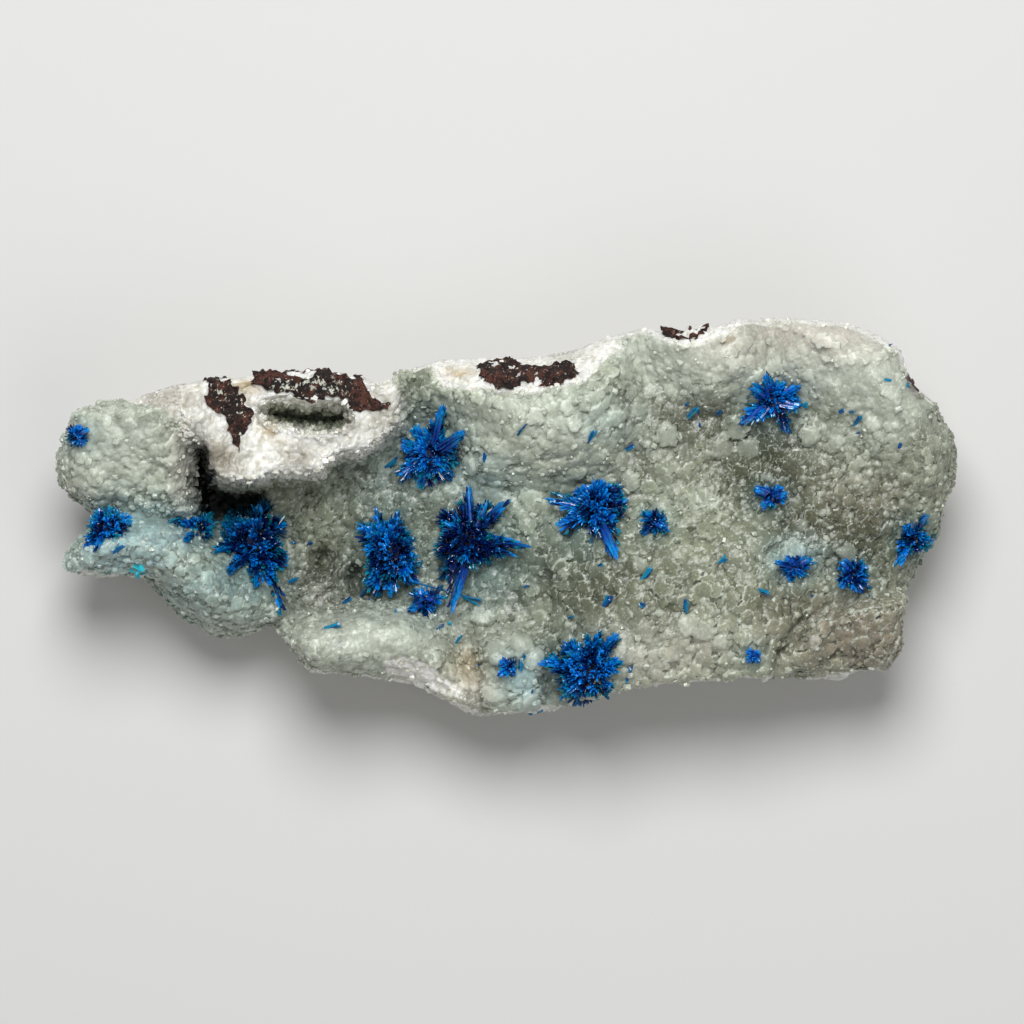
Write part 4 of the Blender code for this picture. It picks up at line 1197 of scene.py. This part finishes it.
class Shader:
    """Builds one Principled material out of nodes."""

    def __init__(self, name, **sockets):
        self.material = bpy.data.materials.new(name)
        self.material.use_nodes = True
        self.tree = self.material.node_tree
        self.principled = self.tree.nodes["Principled BSDF"]
        for key, value in sockets.items():
            self.principled.inputs[key.replace("_", " ")].default_value = value

    def node(self, kind, **settings):
        node = self.tree.nodes.new(kind)
        for key, value in settings.items():
            setattr(node, key, value)
        return node

    def put(self, value, socket):
        if isinstance(value, bpy.types.NodeSocket):
            self.tree.links.new(value, socket)
        else:
            socket.default_value = value

    def value(self, name):
        return self.node("ShaderNodeAttribute", attribute_name=name).outputs["Fac"]

    def position(self):
        return self.node("ShaderNodeNewGeometry").outputs["Position"]

    def mix(self, first, second, share):
        node = self.node("ShaderNodeMix", data_type="RGBA")
        self.put(share, node.inputs[0])
        self.put(first, node.inputs[6])
        self.put(second, node.inputs[7])
        return node.outputs[2]

    def math(self, operation, first, second=0.0, third=0.0):
        node = self.node("ShaderNodeMath", operation=operation)
        self.put(first, node.inputs[0])
        self.put(second, node.inputs[1])
        self.put(third, node.inputs[2])
        return node.outputs[0]

    def times(self, first, second):
        return self.math("MULTIPLY", first, second)

    def ranged(self, value, low, high, bottom=0.0, top=1.0):
        node = self.node("ShaderNodeMapRange", interpolation_type="SMOOTHSTEP")
        self.put(value, node.inputs["Value"])
        limits = {"From Min": low, "From Max": high, "To Min": bottom, "To Max": top}
        for key, number in limits.items():
            node.inputs[key].default_value = number
        return node.outputs["Result"]

    def noise(self, size, detail=3.0, roughness=0.55):
        node = self.node("ShaderNodeTexNoise")
        self.put(self.position(), node.inputs["Vector"])
        node.inputs["Scale"].default_value = 1 / size
        node.inputs["Detail"].default_value = detail
        node.inputs["Roughness"].default_value = roughness
        return node.outputs["Fac"]

    def cells(self, size, feature="F1"):
        node = self.node("ShaderNodeTexVoronoi", feature=feature)
        self.put(self.position(), node.inputs["Vector"])
        node.inputs["Scale"].default_value = 1 / size
        return node.outputs["Distance"]

    def bump(self, height, depth, strength=1.0):
        node = self.node("ShaderNodeBump")
        node.inputs["Strength"].default_value = strength
        node.inputs["Distance"].default_value = depth
        self.put(height, node.inputs["Height"])
        self.put(node.outputs["Normal"], self.principled.inputs["Normal"])

    def brightened(self, colour, factor):
        node = self.node("ShaderNodeVectorMath", operation="SCALE")
        self.put(colour, node.inputs[0])
        self.put(factor, node.inputs["Scale"])
        return node.outputs[0]


def zeolite(name, walls=False, **finish):
    """Frosted, slightly translucent zeolite, tinted by the masks on the mesh, some of which paint
    shade and light on it.

    The material of the walls also has the colour and the relief of broken stone.
    """
    shader = Shader(name, IOR=1.5, **finish)
    shader.principled.inputs["Subsurface Radius"].default_value = SCATTER
    patchy = shader.ranged(shader.noise(2.5 * MM, 1), 0.25, 0.6, 0.75, 1.15)
    colour = BODY
    for key, tint in TINT_COLOURS.items():
        share = shader.math("MINIMUM", shader.times(shader.value(key), patchy), 1.0)
        colour = shader.mix(colour, tint, share)
    # painted shade in the hollows between the lumps, where the druse rises little; less of it
    # where the druse is pale
    deep = shader.times(shader.ranged(shader.value("rise"), 0.0, 0.5, 1.0, 0.0), 0.6)
    deep = shader.times(deep, shader.ranged(shader.value("pale"), 0.2, 0.9, 1.0, 0.3))
    colour = shader.mix(colour, HOLLOW_SHADE, deep)
    # paler at the rims of the lumps: partly the paler tips of their small crystals, partly
    # painted light for the glow of their translucent rims
    rim = shader.ranged(shader.value("rim"), 0.72, 0.98, 0.0, 0.6)
    pearl = shader.times(shader.value("pearl"), 0.65)
    colour = shader.mix(colour, PALE, shader.math("MAXIMUM", rim, pearl))
    snow = shader.ranged(shader.noise(1.2 * MM, 2), 0.5, 0.66)
    snow = shader.mix(WHITE, CHALK, snow)
    milky = shader.mix(snow, GREIGE, shader.times(shader.value("cloudy"), 0.75))
    trimmed = shader.times(shader.value("trimmed"), 0.85)
    white = shader.math("MAXIMUM", shader.value("crust"), trimmed)
    colour = shader.mix(colour, milky, white)
    # white specks: white grains of the druse, and painted glints among them
    specks_and_glints = shader.ranged(shader.noise(0.45 * MM, 2, 0.7), 0.6, 0.68)
    colour = shader.mix(colour, WHITE, shader.times(specks_and_glints, 0.35))
    colour = shader.mix(colour, STAIN, shader.math("MINIMUM", shader.value("stain"), 1.0))
    if walls:
        cloud = shader.ranged(shader.noise(3 * MM, 2, 0.6), 0.4, 0.65)
        broken = shader.mix(BROKEN, BROKEN_DARK, cloud)
        colour = shader.mix(colour, broken, shader.value("broken"))
    # painted shade in the gap, the slot, the basin and the crack
    colour = shader.mix(colour, CAVITY_SHADE, shader.value("dark"))
    colour = shader.mix(colour, RUST, shader.math("MINIMUM", shader.value("rust"), 1.0))
    # painted glow: teal near the sprays, for their colour shining through the druse
    colour = shader.mix(colour, TEAL, shader.times(shader.value("glow"), 0.3))
    own = shader.ranged(shader.value("chance"), 0, 1, 0.9, 1.1)
    # painted light and shade: paler on the crests of the beads and of the fine cells, darker in
    # the creases between them
    bead = shader.ranged(shader.value("bead"), 0.2, 0.95, 0.9, 1.08)
    fine = shader.cells(0.36 * MM)
    bead_light_and_shade = shader.ranged(fine, 0.1, 0.75, 1.06, 0.95)
    factor = shader.times(bead_light_and_shade, shader.times(own, bead))
    shader.put(shader.brightened(colour, factor), shader.principled.inputs["Base Color"])
    relief = shader.math("SUBTRACT", shader.noise(0.2 * MM, 2), shader.times(fine, 1.2))
    if walls:
        rough = shader.times(shader.noise(1.6 * MM, 3, 0.7), BROKEN_RELIEF)
        granules = shader.times(shader.cells(0.9 * MM), BROKEN_GRANULES)
        rough = shader.math("SUBTRACT", rough, granules)
        relief = shader.math("ADD", relief, shader.times(rough, shader.value("broken")))
    shader.bump(relief, 0.05 * MM, 0.5)
    return shader.material


def pentagonite():
    """Deep blue blades, painted lighter towards their thin tips as light shines through them, and
    with painted light and shade that makes some tufts brighter than others.
    """
    shader = Shader("pentagonite_blades", Roughness=0.2, IOR=1.55, Transmission_Weight=0.15)
    reach, chance = shader.value("reach"), shader.value("chance")
    # painted light: lighter towards the tip
    outward = shader.ranged(reach, 0.3, 0.95)
    dark, lit = shader.mix(*BLADE_SHADED, outward), shader.mix(*BLADE_LIT, outward)
    # painted light and shade of the tufts
    colour = shader.mix(dark, lit, shader.ranged(chance, 0.15, 0.95))
    teal = shader.times(shader.value("fringe"), shader.ranged(reach, 0.4, 1.0))
    colour = shader.mix(colour, BLADE_TEAL, teal)
    streaks = shader.ranged(shader.noise(0.3 * MM, 2), 0.3, 0.7, 0.75, 1.25)
    shader.put(shader.brightened(colour, streaks), shader.principled.inputs["Base Color"])
    shader.bump(shader.noise(0.12 * MM, 1), 0.01 * MM, 0.4)
    return shader.material


def loose_pentagonite():
    """The same of the small blades, some of which are bright cyan."""
    shader = Shader("pentagonite_small", Roughness=0.18, IOR=1.55, Transmission_Weight=0.35)
    chance = shader.value("chance")
    colour = shader.mix(*LOOSE_BLUE, shader.ranged(chance, 0.2, 0.9))
    colour = shader.mix(colour, CYAN, shader.ranged(chance, 0.95, 1.05))
    shader.put(colour, shader.principled.inputs["Base Color"])
    shader.bump(shader.noise(0.12 * MM, 1), 0.01 * MM, 0.4)
    return shader.material


def basalt():
    """Dark red rock with grey dust, white patches, and near-black spots of painted shade for
    small holes.
    """
    shader = Shader("basalt_rock", Roughness=0.8)
    rusty = shader.ranged(shader.noise(1.4 * MM, 5), 0.42, 0.62)
    rust = shader.mix(ROCK_DARK, ROCK_RED, rusty)
    dust = shader.ranged(shader.noise(0.35 * MM, 3, 0.7), 0.6, 0.7)
    grey = shader.mix(rust, ROCK_DUST, dust)
    patch = shader.times(shader.value("patch"), 0.16)
    white = shader.math("ADD", shader.noise(0.7 * MM, 5, 0.7), patch)
    white = shader.mix(grey, ROCK_WHITE, shader.ranged(white, 0.64, 0.67))
    # painted shade: near-black spots for the holes
    black = shader.ranged(shader.noise(0.5 * MM, 2), 0.45, 0.36)
    holes = shader.mix(white, ROCK_HOLE_SHADE, black)
    shader.put(holes, shader.principled.inputs["Base Color"])
    shader.bump(shader.noise(0.25 * MM, 4, 0.7), 0.25 * MM, 1.0)
    return shader.material


# Room, light and camera


def make_floor():
    shape = bmesh.new()
    bmesh.ops.create_grid(shape, x_segments=1, y_segments=1, size=FLOOR_HALF)
    mesh = bpy.data.meshes.new("floor")
    shape.to_mesh(mesh)
    shape.free()
    shader = Shader("floor_paint", Roughness=0.7, Base_Color=FLOOR_COLOUR)
    mesh.materials.append(shader.material)
    linked("floor", mesh)


def aimed(obj, place, target):
    obj.location = place
    obj.rotation_mode = "QUATERNION"
    obj.rotation_quaternion = (Vector(target) - Vector(place)).to_track_quat("-Z", "Y")


def make_light(name, place, size, power):
    light = bpy.data.lights.new(name, "AREA")
    light.shape = "DISK"
    light.size = size
    light.energy = power
    aimed(linked(name, light), place, (0, 0, FOCUS_HEIGHT))


def make_lights():
    for name, settings in LIGHTS.items():
        make_light(name, *settings)
    world = bpy.data.worlds.new("room")
    world.use_nodes = True
    world.node_tree.nodes["Background"].inputs["Color"].default_value = (1, 1, 1, 1)
    world.node_tree.nodes["Background"].inputs["Strength"].default_value = ROOM_LIGHT
    bpy.context.scene.world = world


def make_camera():
    """Straight above, with the frame of the reference picture."""
    data = bpy.data.cameras.new("camera")
    data.lens = FOCAL_LENGTH
    data.sensor_width = SENSOR
    camera = linked("camera", data)
    x, y = plan_metres((IMAGE_PX / 2, IMAGE_PX / 2))
    distance = IMAGE_PX * PIXEL * FOCAL_LENGTH / SENSOR
    camera.location = (x, y, FOCUS_HEIGHT + distance)
    bpy.context.scene.camera = camera


def main():
    make_camera()
    make_lights()
    make_floor()
    druse = zeolite(
        "zeolite", Roughness=0.32, Subsurface_Weight=0.7, Subsurface_Scale=2.2 * MM)
    walls = zeolite(
        "zeolite_break", walls=True, Roughness=0.5, Subsurface_Weight=0.25,
        Subsurface_Scale=0.4 * MM)
    skin = make_plate(druse, walls)
    blue = pentagonite()
    for number, node in enumerate(nodes_of("spray_")):
        make_spray(node, blue, number)
    make_loose_blades(skin, loose_pentagonite())
    rock = basalt()
    for node in nodes_of("basalt_"):
        make_basalt(node, rock)
    bpy.context.scene.view_settings.view_transform = "Standard"


main()
